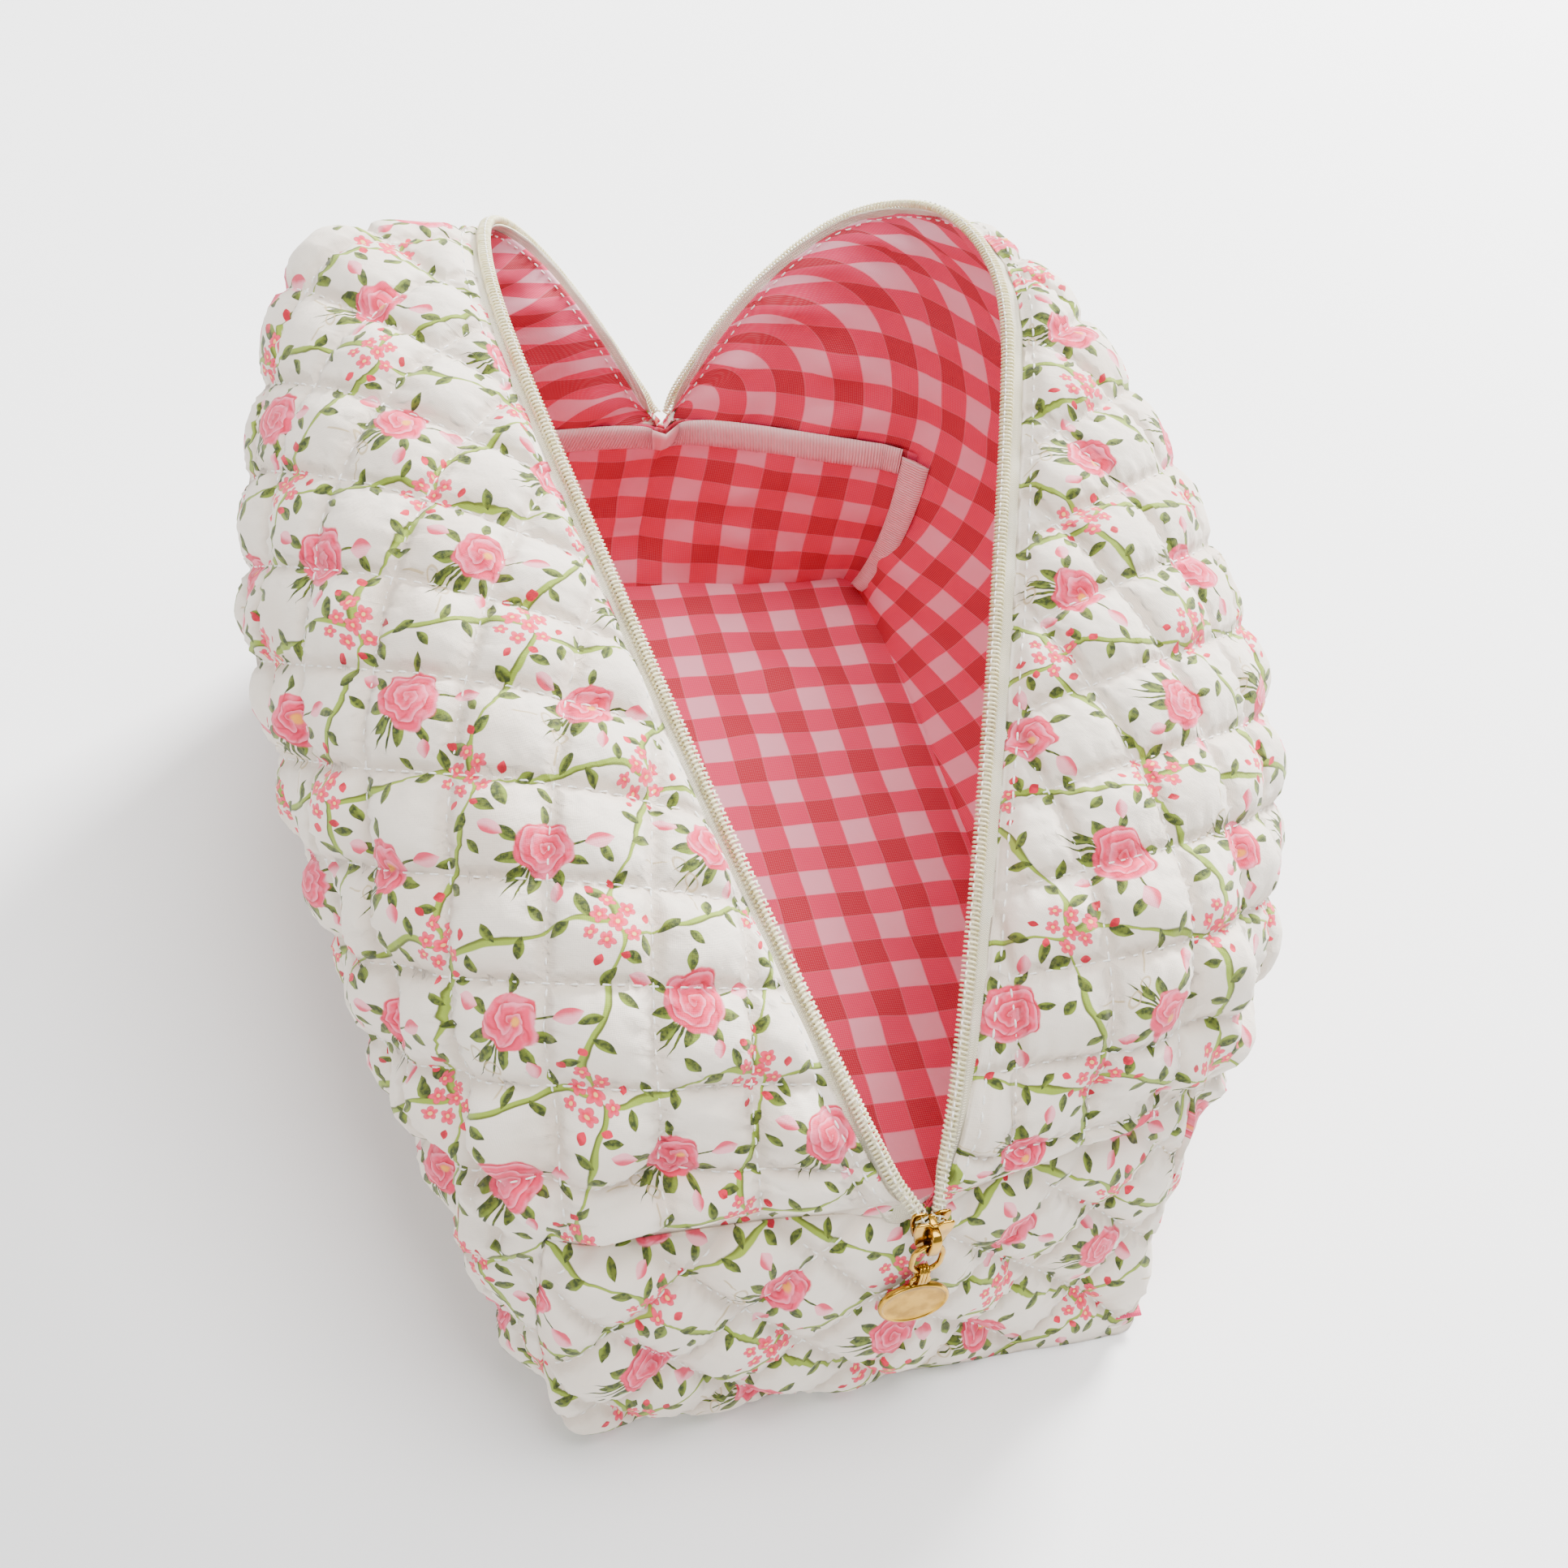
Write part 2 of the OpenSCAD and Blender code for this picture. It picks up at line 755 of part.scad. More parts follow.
module charm() {
  color(gold)
    on_pull()
      union() {
        translate([0, 0, -disc_top - charm_h / 2])
          rotate([90, 0, 0])
            difference() {
              scale([charm_w / charm_h, 1, 1])
                cylinder(d = charm_h, h = charm_t, center = true, $fn = 72);
              for (side = [-1, 1])
                translate([0, 0, side * (charm_t / 2 + 0.3)])
                  scale([(charm_w - 2) / (charm_h - 2), 1, 1])
                    cylinder(d = charm_h - 2, h = 1, center = true, $fn = 72);
            }
        translate([-bail_half, 0, -charm_pin])
          rotate([0, 90, 0])
            cylinder(d = bail_wire, h = 2 * bail_half, $fn = 20);
        for (side = [0, 1])
          mirror([side, 0, 0]) {
            translate([bail_half, 0, -charm_pin - bail_corner])
              rotate([90, 0, 0])
                rotate_extrude(angle = 90, $fn = 48)
                  translate([bail_corner, 0])
                    circle(d = bail_wire, $fn = 20);
            translate([bail_half + bail_corner, 0, -disc_top - 1.2])
              cylinder(d = bail_wire, h = disc_top + 1.2 - charm_pin - bail_corner, $fn = 20);
          }
      }
}

base_outer();
base_wadding();
base_lining();
near_end_outer();
near_end_wadding();
near_end_lining();
far_end_outer();
far_end_wadding();
far_end_lining();
left_wall_outer();
left_wall_wadding();
left_wall_lining();
right_wall_outer();
right_wall_wadding();
right_wall_lining();
left_shoulder();
left_shoulder_lining();
right_shoulder();
right_shoulder_lining();
near_end_binding();
far_end_binding();
near_left_binding();
near_right_binding();
far_left_binding();
far_right_binding();
left_flap_outer();
left_flap_wadding();
left_flap_lining();
left_zip_tape();
left_zip_coil();
right_flap_outer();
right_flap_wadding();
right_flap_lining();
right_zip_tape();
right_zip_coil();
slider_body();
slider_bridge();
pull_ring();
pull_link();
charm();
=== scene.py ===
import math

import bmesh
import bpy
import numpy as np
from mathutils import Matrix, Vector


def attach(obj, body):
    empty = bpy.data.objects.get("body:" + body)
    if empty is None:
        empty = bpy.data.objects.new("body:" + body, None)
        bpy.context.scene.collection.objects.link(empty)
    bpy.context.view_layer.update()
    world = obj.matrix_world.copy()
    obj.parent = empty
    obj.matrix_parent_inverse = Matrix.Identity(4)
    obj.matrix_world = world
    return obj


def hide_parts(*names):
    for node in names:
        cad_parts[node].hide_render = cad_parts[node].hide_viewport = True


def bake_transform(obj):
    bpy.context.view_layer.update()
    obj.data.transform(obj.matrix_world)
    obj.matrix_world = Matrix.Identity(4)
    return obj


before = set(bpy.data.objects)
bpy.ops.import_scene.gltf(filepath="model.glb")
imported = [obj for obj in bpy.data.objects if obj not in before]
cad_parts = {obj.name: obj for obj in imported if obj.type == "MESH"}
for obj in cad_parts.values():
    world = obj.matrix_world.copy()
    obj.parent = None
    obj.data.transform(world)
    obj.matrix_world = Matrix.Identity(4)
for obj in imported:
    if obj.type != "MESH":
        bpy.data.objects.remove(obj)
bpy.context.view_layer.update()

TAU = 2 * math.pi


def unit(a):
    """Each vector along the last axis at length 1."""
    return a / np.maximum(np.linalg.norm(a, axis=-1, keepdims=True), 1e-9)


def length_along(p, axis=0):
    """Distance run along rows of points, from the first one."""
    step = np.linalg.norm(np.diff(p, axis=axis), axis=-1)
    return np.concatenate([np.zeros_like(step.take([0], axis)), np.cumsum(step, axis=axis)], axis)


def resample(at_, run, p):
    """The points p, which lie at distances run, taken at other distances."""
    return np.stack([np.interp(at_, run, p[:, i]) for i in range(p.shape[1])], -1)


def smooth01(x):
    x = np.clip(x, 0, 1)
    return x * x * (3 - 2 * x)


def hump(x, width):
    """A smooth hump of height 1 at 0 that fades out within about twice the width."""
    return np.exp(-((x / width) ** 2))


def side_name(sd):
    return "left" if sd < 0 else "right"


# ------------------------------------------------------------------ shape of the bag (mm)
W, L, RC, TC = 178.0, 330.0, 10.0, 0.175
# Control points of each side's zip edge from the near tip to the far one, as two joined curves
TIP_N, TIP_F = [0, -161, 88], [0, 161, 86]
KEYS = {
    -1: [TIP_N, [-30, -160, 135], [-75, 74, 190], [-75, 84, 190], [-77, 190, 187], [-40, 165, 157], TIP_F],
    1: [TIP_N, [5, -160, 122], [76, 72, 193], [77, 84, 194], [84, 192, 198], [12, 165, 145], TIP_F],
}
# Where each side's two inner control points lie, in the order raw_controls reads them. An ending c is for the value
# at the corners, b for what the belly adds half way, and s for the change from there to the far corner.
FULL = {
    -1: (114, 49, 184, 60, 124, 58, 126, 172, 46, 38, -10, 18),
    1: (98, 112, 124, 64, 98, 26, 150, 194, 10, -24, 20, 0),
}
END1, END2 = (174.0, 30.0), (172.0, 60.0)
SEAM_Z = 86.0


def bez1(p, s):
    s = s[:, None]
    return (1 - s) ** 3 * p[0] + 3 * s * (1 - s) ** 2 * p[1] + 3 * s * s * (1 - s) * p[2] + s ** 3 * p[3]


EDGE = {}
for side, k in KEYS.items():
    s = np.linspace(0, 1, 41)
    k = np.array(k, float)
    pts = np.r_[bez1(k[:4], s), bez1(k[3:], s)[1:]]
    run = length_along(pts)
    EDGE[side] = (run / run[-1], pts)


def edge(sd, t):
    """The zip edge, with its kinks smoothed."""
    w = np.minimum(0.05, np.minimum(t, 1 - t))
    near = ((-1, 1), (-0.5, 2), (0, 2), (0.5, 2), (1, 1))
    return sum(share * resample(t + d * w, *EDGE[sd]) for d, share in near) / 8


def base_pt(sd, t):
    a, c = W / 2 - RC, RC * math.pi / 2
    b = L - 2 * RC
    e = a + c
    h = np.minimum(t, 1 - t)
    s = np.where(h < TC, h / TC * e, e + (h - TC) / (1 - 2 * TC) * b)
    q = np.clip((s - a) / RC, 0, math.pi / 2)
    x = np.where(s < a, s, a + RC * np.sin(q))
    y = np.where(s < a, -L / 2, np.where(s < e, -L / 2 + RC - RC * np.cos(q), -L / 2 + RC + s - e))
    y = np.where(t < 0.5, y, -y)
    return np.stack([sd * x, y, 0 * x], 1)


def raw_controls(sd, t):
    x1c, x1b, y1, z1, x2c, x2b, y2, z2c, z2b, y2o, z2s, xs = FULL[sd]
    s = np.clip((t - 0.5) / (0.5 - TC), -1, 1)
    b = 1 - s * s
    e = np.clip(np.minimum(t, 1 - t) / TC, 0, 1)[:, None]
    p1 = np.stack([sd * (x1c + x1b * b), y1 * s, z1 + 0 * s], 1)
    p2 = np.stack([sd * (x2c + x2b * b + xs * s), y2 * s + y2o * b, z2c + z2b * b + z2s * s], 1)
    g = np.where(t < 0.5, -1, 1)
    c1 = np.stack([0 * t, END1[0] * g, 0 * t + END1[1]], 1)
    c2 = np.stack([0 * t, END2[0] * g, 0 * t + END2[1]], 1)
    return c1 * (1 - e) + p1 * e, c2 * (1 - e ** 1.15) + p2 * e ** 1.15


def controls(sd, t):
    w = np.minimum(0.025, np.minimum(t, 1 - t))
    a, b, c = raw_controls(sd, t - w), raw_controls(sd, t), raw_controls(sd, t + w)
    return (a[0] + 2 * b[0] + c[0]) / 4, (a[1] + 2 * b[1] + c[1]) / 4


def columns(u):
    """Control points of the wall columns at u: 0 near end, 1 far end by the right side, below 0 or past 1 left side."""
    u = np.asarray(u, float)
    left = (u < 0) | (u > 1)
    t = np.where(u > 1, 2 - u, np.abs(u))
    out = np.zeros((4, len(u), 3))
    for sd, m in ((-1, left), (1, ~left)):
        if m.any():
            out[:, m] = base_pt(sd, t[m]), *controls(sd, t[m]), edge(sd, t[m])
    return out


def at(cols, v):
    v = v[..., None]
    p0, p1, p2, p3 = (c[:, None] for c in cols)
    return (1 - v) ** 3 * p0 + 3 * v * (1 - v) ** 2 * p1 + 3 * v * v * (1 - v) * p2 + v ** 3 * p3


def skin(u, v):
    """Points and outward normals for columns u (n) and heights v (n, m)."""
    h = 0.002
    c = columns(u)
    p = at(c, v)
    du = at(columns(np.asarray(u) + h), v) - at(columns(np.asarray(u) - h), v)
    dv = at(c, v + h) - at(c, v - h)
    return p, unit(np.cross(du, dv))


def v_seam(u, z=SEAM_Z):
    t = np.where(u > 1, 2 - u, np.abs(u))
    h = np.minimum(t, 1 - t)
    lo, hi = np.zeros(len(u)), 1 - 2.5 * np.minimum(h, 0.1)
    c = columns(u)
    for _ in range(22):
        mid = (lo + hi) / 2
        below = at(c, mid[:, None])[:, 0, 2] < z
        lo, hi = np.where(below, mid, lo), np.where(below, hi, mid)
    return (lo + hi) / 2


def v_from_edge(u, e):
    """v at which each column is e away from the zip edge, measured square to the edge."""
    c = columns(u)
    run = unit(columns(np.asarray(u) + 0.002)[3] - columns(np.asarray(u) - 0.002)[3])
    lo, hi = np.full(len(u), 0.4), np.ones(len(u))
    for _ in range(18):
        mid = (lo + hi) / 2
        far = np.linalg.norm(np.cross(at(c, mid[:, None])[:, 0] - c[3], run), axis=1) > e
        lo, hi = np.where(far, mid, lo), np.where(far, hi, mid)
    return (lo + hi) / 2


def even_rows(u, v0, v1, n):
    """v for n+1 rows at even arc length between v0 and v1 in each column, with the arc length of each row from v0."""
    f = np.linspace(0, 1, 60)
    vv = v0[:, None] + (v1 - v0)[:, None] * f
    run = length_along(at(columns(u), vv), 1)
    w = np.linspace(0, 1, n + 1)
    v = np.stack([np.interp(w * run[i, -1], run[i], vv[i]) for i in range(len(u))])
    return v, w[None, :] * run[:, -1:]


# ------------------------------------------------------------------ mesh helpers
def make(name, verts, faces, mats, uv=None, mat_index=None, sewn=None):
    """A mesh object from millimetres. uv and sewn are cloth coordinates per vertex, also in millimetres."""
    me = bpy.data.meshes.new(name)
    me.from_pydata((np.asarray(verts) / 1000).tolist(), [], faces if isinstance(faces, list) else faces.tolist())
    for layer, co in (("cloth", uv), ("sewn", sewn)):
        if co is not None:
            lay = me.uv_layers.new(name=layer)
            idx = np.zeros(len(me.loops), np.int32)
            me.loops.foreach_get("vertex_index", idx)
            lay.data.foreach_set("uv", (np.asarray(co)[idx] / 1000).astype(np.float32).ravel())
    for m in mats if isinstance(mats, list) else [mats]:
        me.materials.append(m)
    if mat_index is not None:
        me.polygons.foreach_set("material_index", np.asarray(mat_index, np.int32))
    return place(name, me)


def place(name, me):
    """A smooth-shaded object for a mesh."""
    me.polygons.foreach_set("use_smooth", np.ones(len(me.polygons), bool))
    me.update()
    ob = bpy.data.objects.new(name, me)
    bpy.context.scene.collection.objects.link(ob)
    return ob


def shell(name, outer, inner, keep, mats, uv, sewn=None):
    """A closed shell between two (n, m, 3) grids. keep is an (n-1, m-1) mask of the cells that exist."""
    n, m = outer.shape[:2]
    off = n * m
    a = np.arange(off).reshape(n, m)[:-1, :-1]
    quads = np.stack([a, a + m, a + m + 1, a + 1], 2)
    q = quads[keep]
    faces = [q, (q + off)[:, ::-1]]
    pad = np.pad(keep, 1)
    for di, dj, a, b in ((-1, 0, 3, 0), (1, 0, 1, 2), (0, -1, 0, 1), (0, 1, 2, 3)):
        nb = pad[1 + di:n + di, 1 + dj:m + dj]
        e = quads[keep & ~nb]
        faces.append(np.stack([e[:, b], e[:, a], e[:, a] + off, e[:, b] + off], 1))
    faces = np.concatenate(faces)
    verts = np.concatenate([outer.reshape(-1, 3), inner.reshape(-1, 3)])
    uv2 = np.concatenate([uv.reshape(-1, 2)] * 2)
    used, inv = np.unique(faces, return_inverse=True)
    sw = None if sewn is None else np.concatenate([sewn.reshape(-1, 2)] * 2)[used]
    return make(name, verts[used], inv.reshape(faces.shape), mats, uv2[used], sewn=sw)


def ring_faces(n, k, loop=False):
    """Faces of a skin over n rings of k points each: closed on itself, or capped at both ends."""
    f = []
    for i in range(n if loop else n - 1):
        j = (i + 1) % n
        f += [[i * k + a, i * k + (a + 1) % k, j * k + (a + 1) % k, j * k + a] for a in range(k)]
    return f if loop else f + [list(range(k))[::-1], [(n - 1) * k + a for a in range(k)]]


def tube_data(path, radius, sides, up):
    """A round tube along a path. Its rings start in the direction up."""
    path = np.asarray(path, float)
    t = unit(np.gradient(path, axis=0))
    a = unit(up - t * (up * t).sum(1, keepdims=True))
    b = np.cross(t, a)
    ang = (np.arange(sides) * TAU / sides)[None, :, None]
    v = path[:, None] + radius * (np.cos(ang) * a[:, None] + np.sin(ang) * b[:, None])
    return v.reshape(-1, 3), ring_faces(len(path), sides)


# Smooth random fields for folds and uneven stuffing
def field(seed, n=24, lo=0.004, hi=0.03, slope=1.0):
    r = np.random.default_rng(seed)
    k = np.exp(r.uniform(math.log(lo), math.log(hi), n))
    a = r.uniform(0, TAU, n)
    ph = r.uniform(0, TAU, n)
    amp = (lo / k) ** slope

    def f(x, y):
        s = 0
        for i in range(n):
            s = s + amp[i] * np.sin(TAU * k[i] * (x * math.cos(a[i]) + y * math.sin(a[i])) + ph[i])
        return s / np.sqrt((amp ** 2).sum())

    return f


QC = 36.0  # distance between crossings of the quilting lines, along the cloth

# ------------------------------------------------------------------ material helpers
class Ex:
    """A number in a material's node tree, with arithmetic that adds Math nodes."""

    def __init__(self, nt, sock):
        self.nt, self.sock = nt, sock

    def op(self, kind, *others):
        n = self.nt.nodes.new("ShaderNodeMath")
        n.operation = kind
        self.nt.links.new(self.sock, n.inputs[0])
        for i, o in enumerate(others):
            if isinstance(o, Ex):
                self.nt.links.new(o.sock, n.inputs[i + 1])
            else:
                n.inputs[i + 1].default_value = float(o)
        return Ex(self.nt, n.outputs[0])

    def __rsub__(self, o):
        return self * -1 + o

    def step(self, a, b, lo=0.0, hi=1.0):
        """Smooth step from lo at a to hi at b."""
        n = self.nt.nodes.new("ShaderNodeMapRange")
        n.interpolation_type = "SMOOTHSTEP"
        self.nt.links.new(self.sock, n.inputs["Value"])
        flip = a > b
        n.inputs["From Min"].default_value = min(a, b)
        n.inputs["From Max"].default_value = max(a, b)
        n.inputs["To Min"].default_value = hi if flip else lo
        n.inputs["To Max"].default_value = lo if flip else hi
        return Ex(self.nt, n.outputs["Result"])


for method, kind in (
    ("__add__", "ADD"), ("__radd__", "ADD"), ("__sub__", "SUBTRACT"), ("__mul__", "MULTIPLY"),
    ("__rmul__", "MULTIPLY"), ("__truediv__", "DIVIDE"), ("sin", "SINE"), ("cos", "COSINE"), ("abs", "ABSOLUTE"),
    ("floor", "FLOOR"), ("fract", "FRACT"), ("sqrt", "SQRT"), ("min", "MINIMUM"), ("max", "MAXIMUM"),
    ("atan2", "ARCTAN2"),
):
    setattr(Ex, method, lambda self, *others, kind=kind: self.op(kind, *others))


class Mat:
    """A material with one Principled shader."""

    def __init__(self, name, color=(0.8, 0.8, 0.8), rough=0.7, **kw):
        self.m = bpy.data.materials.new(name)
        self.m.use_nodes = True
        self.nt = self.m.node_tree
        self.b = self.nt.nodes["Principled BSDF"]
        self.b.inputs["Base Color"].default_value = (*color, 1)
        self.b.inputs["Roughness"].default_value = rough
        for k, v in kw.items():
            self.b.inputs[k].default_value = v

    def uv(self, scale=1000.0, name="cloth"):
        n = self.nt.nodes.new("ShaderNodeUVMap")
        n.uv_map = name
        s = self.nt.nodes.new("ShaderNodeSeparateXYZ")
        self.nt.links.new(n.outputs[0], s.inputs[0])
        return Ex(self.nt, s.outputs[0]) * scale, Ex(self.nt, s.outputs[1]) * scale, n.outputs[0]

    def object_co(self):
        return self.nt.nodes.new("ShaderNodeTexCoord").outputs["Object"]

    def noise(self, co, scale, detail=3.0, rough=0.5, out="Fac"):
        n = self.nt.nodes.new("ShaderNodeTexNoise")
        n.inputs["Scale"].default_value = scale
        n.inputs["Detail"].default_value = detail
        n.inputs["Roughness"].default_value = rough
        self.nt.links.new(co, n.inputs["Vector"])
        if out == "Fac":
            return Ex(self.nt, n.outputs["Fac"])
        s = self.nt.nodes.new("ShaderNodeSeparateColor")
        self.nt.links.new(n.outputs["Color"], s.inputs[0])
        return [Ex(self.nt, s.outputs[i]) for i in range(3)]

    def mix(self, a, b, fac):
        n = self.nt.nodes.new("ShaderNodeMix")
        n.data_type = "RGBA"
        for i, c in ((6, a), (7, b)):
            if isinstance(c, tuple):
                n.inputs[i].default_value = (*c, 1)
            else:
                self.nt.links.new(c, n.inputs[i])
        if isinstance(fac, Ex):
            self.nt.links.new(fac.sock, n.inputs[0])
        else:
            n.inputs[0].default_value = fac
        return n.outputs[2]

    def color(self, sock):
        self.nt.links.new(sock, self.b.inputs["Base Color"])

    def set(self, name, ex):
        self.nt.links.new(ex.sock, self.b.inputs[name])

    def bump(self, height, dist=0.0003, strength=1.0):
        n = self.nt.nodes.new("ShaderNodeBump")
        n.inputs["Distance"].default_value = dist
        n.inputs["Strength"].default_value = strength
        self.nt.links.new(height.sock, n.inputs["Height"])
        prev = self.b.inputs["Normal"].links
        if prev:
            self.nt.links.new(prev[0].from_socket, n.inputs["Normal"])
        self.nt.links.new(n.outputs[0], self.b.inputs["Normal"])

    def two_tone(self, a, b, scale, detail=2.0):
        """Base colour that wanders between two others."""
        co = self.object_co()
        self.color(self.mix(srgb(*a), srgb(*b), self.noise(co, scale, detail).step(0.35, 0.7)))
        return co


def srgb(r, g, b):
    f = lambda c: (c / 255 / 12.92) if c <= 10 else ((c / 255 + 0.055) / 1.055) ** 2.4
    return (f(r), f(g), f(b))


def weave(x, y, pitch=0.42):
    return (x * (TAU / pitch)).sin() * (y * (TAU / pitch)).sin()


def turned(x, y, cx, cy, deg):
    c, s = math.cos(math.radians(deg)), math.sin(math.radians(deg))
    dx, dy = x - cx, y - cy
    return dx * c + dy * s, dy * c - dx * s


def leaf(x, y, cx, cy, deg, ln, wd, soft=0.25):
    """1 inside a pointed leaf centred at (cx, cy), and the distance across from its midrib."""
    a, b = turned(x, y, cx, cy, deg)
    q = a / (ln / 2)
    w = (1 - q * q) * (wd / 2)
    return (w - b.abs()).step(0, soft), b


def print_material():
    """Ivory cotton with roses, small coral flowers and vines. The print's x runs across the bag, its y along it."""
    m = Mat("printed_cotton", rough=0.82)
    m.b.inputs["Sheen Weight"].default_value = 0.15
    m.b.inputs["Sheen Roughness"].default_value = 0.5
    x0, y0, co = m.uv()
    wx, wy, _ = m.noise(co, 65.0, 2.0, 0.5, "Color")
    x = (x0 + (wx - 0.5) * 5.0) * 1.14
    y = (y0 + (wy - 0.5) * 5.0) * 1.14
    fine = m.noise(co, 800.0, 3.0)
    blot = m.noise(co, 260.0, 3.0)
    PX, PY = 39.0, 58.0
    col = m.mix(srgb(242, 231, 216), srgb(216, 196, 176), m.noise(co, 28.0, 4.0).step(0.42, 0.75) * 0.5)
    # painted shade: the cloth is made a little darker along the quilting lines, where the creases lie in shade, and is
    # drawn in there by a bump
    sewn_x, sewn_y, _ = m.uv(name="sewn")
    pp, qq = (sewn_x + sewn_y) / QC, (sewn_x - sewn_y) / QC
    gap = (((pp + 0.5).fract() - 0.5).abs().min(((qq + 0.5).fract() - 0.5).abs())) * (QC / math.sqrt(2))
    col = m.mix(col, srgb(200, 178, 158), gap.step(4.5, 0.0) * 0.4)
    olive, dark, pale = srgb(90, 102, 20), srgb(44, 56, 8), srgb(142, 164, 50)
    coral, coral_d, pink = srgb(230, 30, 66), srgb(180, 2, 36), srgb(244, 84, 112)
    green = m.mix(olive, dark, fine.step(0.38, 0.62))

    def strew(x, y, rows, shade, soft=0.25):
        """One leaf shape for each row (x, y, degrees, length, width), coloured by its distance from the midrib."""
        nonlocal col
        for row in rows:
            mask, across = leaf(x, y, *row, soft)
            col = m.mix(col, shade(across), mask)

    # a trellis of vines: neighbouring lines swing against each other and meet at the flower clusters
    k = (x / PX + 0.5).floor()
    sg = (k * 0.5).fract() * -4 + 1
    vx = (x / PX + 0.5).fract() * PX - PX / 2
    ux = vx * sg
    uy = ((y / PY).fract() - 0.5) * PY
    th = uy * (TAU / PY)
    slope = th.sin() * (PX / 2 * TAU / PY)
    dist = (ux - th.cos() * (PX / 2) + (th * 5).sin() * 1.2) / (slope * slope + 1).sqrt()
    width = (th * 3 + 1.0).sin() * 0.35 + 0.8
    line = (dist.abs() - width).step(0.25, -0.15)
    col = m.mix(col, m.mix(pale, olive, dist.step(0.0, 0.7)), line)
    strew(ux, uy.abs(), (
        (17.0, 9.5, 70, 7.4, 3.7), (8.6, 9.2, 170, 6.6, 3.3), (6.8, 16.8, 95, 6.2, 3.2),
        (-3.2, 13.2, 215, 6.8, 3.3), (-6.0, 20.6, 80, 6.4, 3.2), (-15.6, 18.4, 230, 6.2, 3.1),
    ), lambda rib: m.mix(green, pale, rib.step(0.15, 1.0) * 0.6))
    # small flowers where the vines meet, and a few along them
    k2 = (x / PX).floor()
    par = (k2 * 0.5).fract() * 2
    cxx = (x / PX).fract() * PX - PX / 2
    cyy = ((y / PY + par * 0.5).fract() - 0.5) * PY
    for ox, oy, rr, s in (
        (0.4, 0.4, 2.5, 0.3), (4.6, 1.6, 2.3, 1.1), (-1.6, 4.8, 2.4, 2.0), (-4.6, -1.6, 2.3, 0.7),
        (1.6, -4.4, 2.2, 2.6), (3.2, 6.4, 2.0, 1.5), (-6.4, 3.2, 1.9, 0.2),
    ):
        fx, fz = cxx - ox, cyy - oy
        r = (fx * fx + fz * fz).sqrt()
        ang = fz.atan2(fx)
        pet = ((ang * 2.5 + s).sin().abs() * 0.42 + 0.66) * rr
        q = r / pet
        mk = q.step(1.05, 0.9)
        shade = m.mix(coral, pink, q.step(0.3, 0.75) * 0.75)
        shade = m.mix(shade, coral_d, q.step(0.82, 1.0) * 0.8)
        shade = m.mix(shade, srgb(246, 196, 120), r.step(0.7, 0.35))
        col = m.mix(col, shade, mk)
    small_buds = ((7.6, -3.6, 40), (-3.6, -7.4, 120), (8.4, 10.4, 70), (-9.6, -4.0, 20), (2.0, 11.6, 95))
    strew(cxx, cyy, [(*row, 3.4, 2.5) for row in small_buds], lambda _: m.mix(coral, coral_d, blot.step(0.4, 0.6)))
    # one rose in every mesh of the trellis
    rx = cxx
    ry = ((y / PY + par * 0.5 + 0.5).fract() - 0.5) * PY
    strew(rx, ry, (
        (-8.5, -1.6, 10, 20, 1.1), (-8.0, -3.0, 22, 18, 1.0), (-7.5, 0.4, -4, 17, 0.9), (8.8, -5.2, -30, 10, 0.9),
    ), lambda _: green, 0.15)
    # a thin bow tied round the stems of every other rose
    bx = rx + 12.5
    by = (ry + 1.8).abs() - 2.9
    bow = (bx * bx / 2.2 + by * by / 5.4 - 1).abs().step(0.5, 0.15)
    tail = (bx + by * 0.9).abs().step(0.5, 0.25) * by.step(2.0, 2.6) * by.step(7.4, 6.8)
    col = m.mix(col, srgb(190, 166, 118), (bow + tail).min(1.0) * par * 0.75)
    strew(rx, ry, (
        (-7.2, 3.4, 150, 9.0, 4.2), (-6.6, -5.4, 205, 9.4, 4.0), (-3.2, 9.4, 100, 7.2, 3.3), (4.6, -9.0, -55, 7.4, 3.4),
        (7.6, 7.8, 45, 6.4, 3.0), (-1.8, -9.8, 250, 7.6, 3.2), (-10.4, -0.6, 180, 7.2, 3.0),
    ), lambda rib: m.mix(green, pale, rib.step(0.15, 0.9) * 0.5))
    bud_light, bud_deep = srgb(250, 170, 180), srgb(222, 66, 92)
    strew(rx, ry, (
        (-5.4, 13.2, 118, 7.0, 4.4), (13.6, -8.6, -30, 7.4, 4.8), (-4.6, -13.2, 232, 6.0, 4.0),
    ), lambda across: m.mix(bud_light, bud_deep, (across + blot * 2 - 1).step(-0.6, 1.2)))
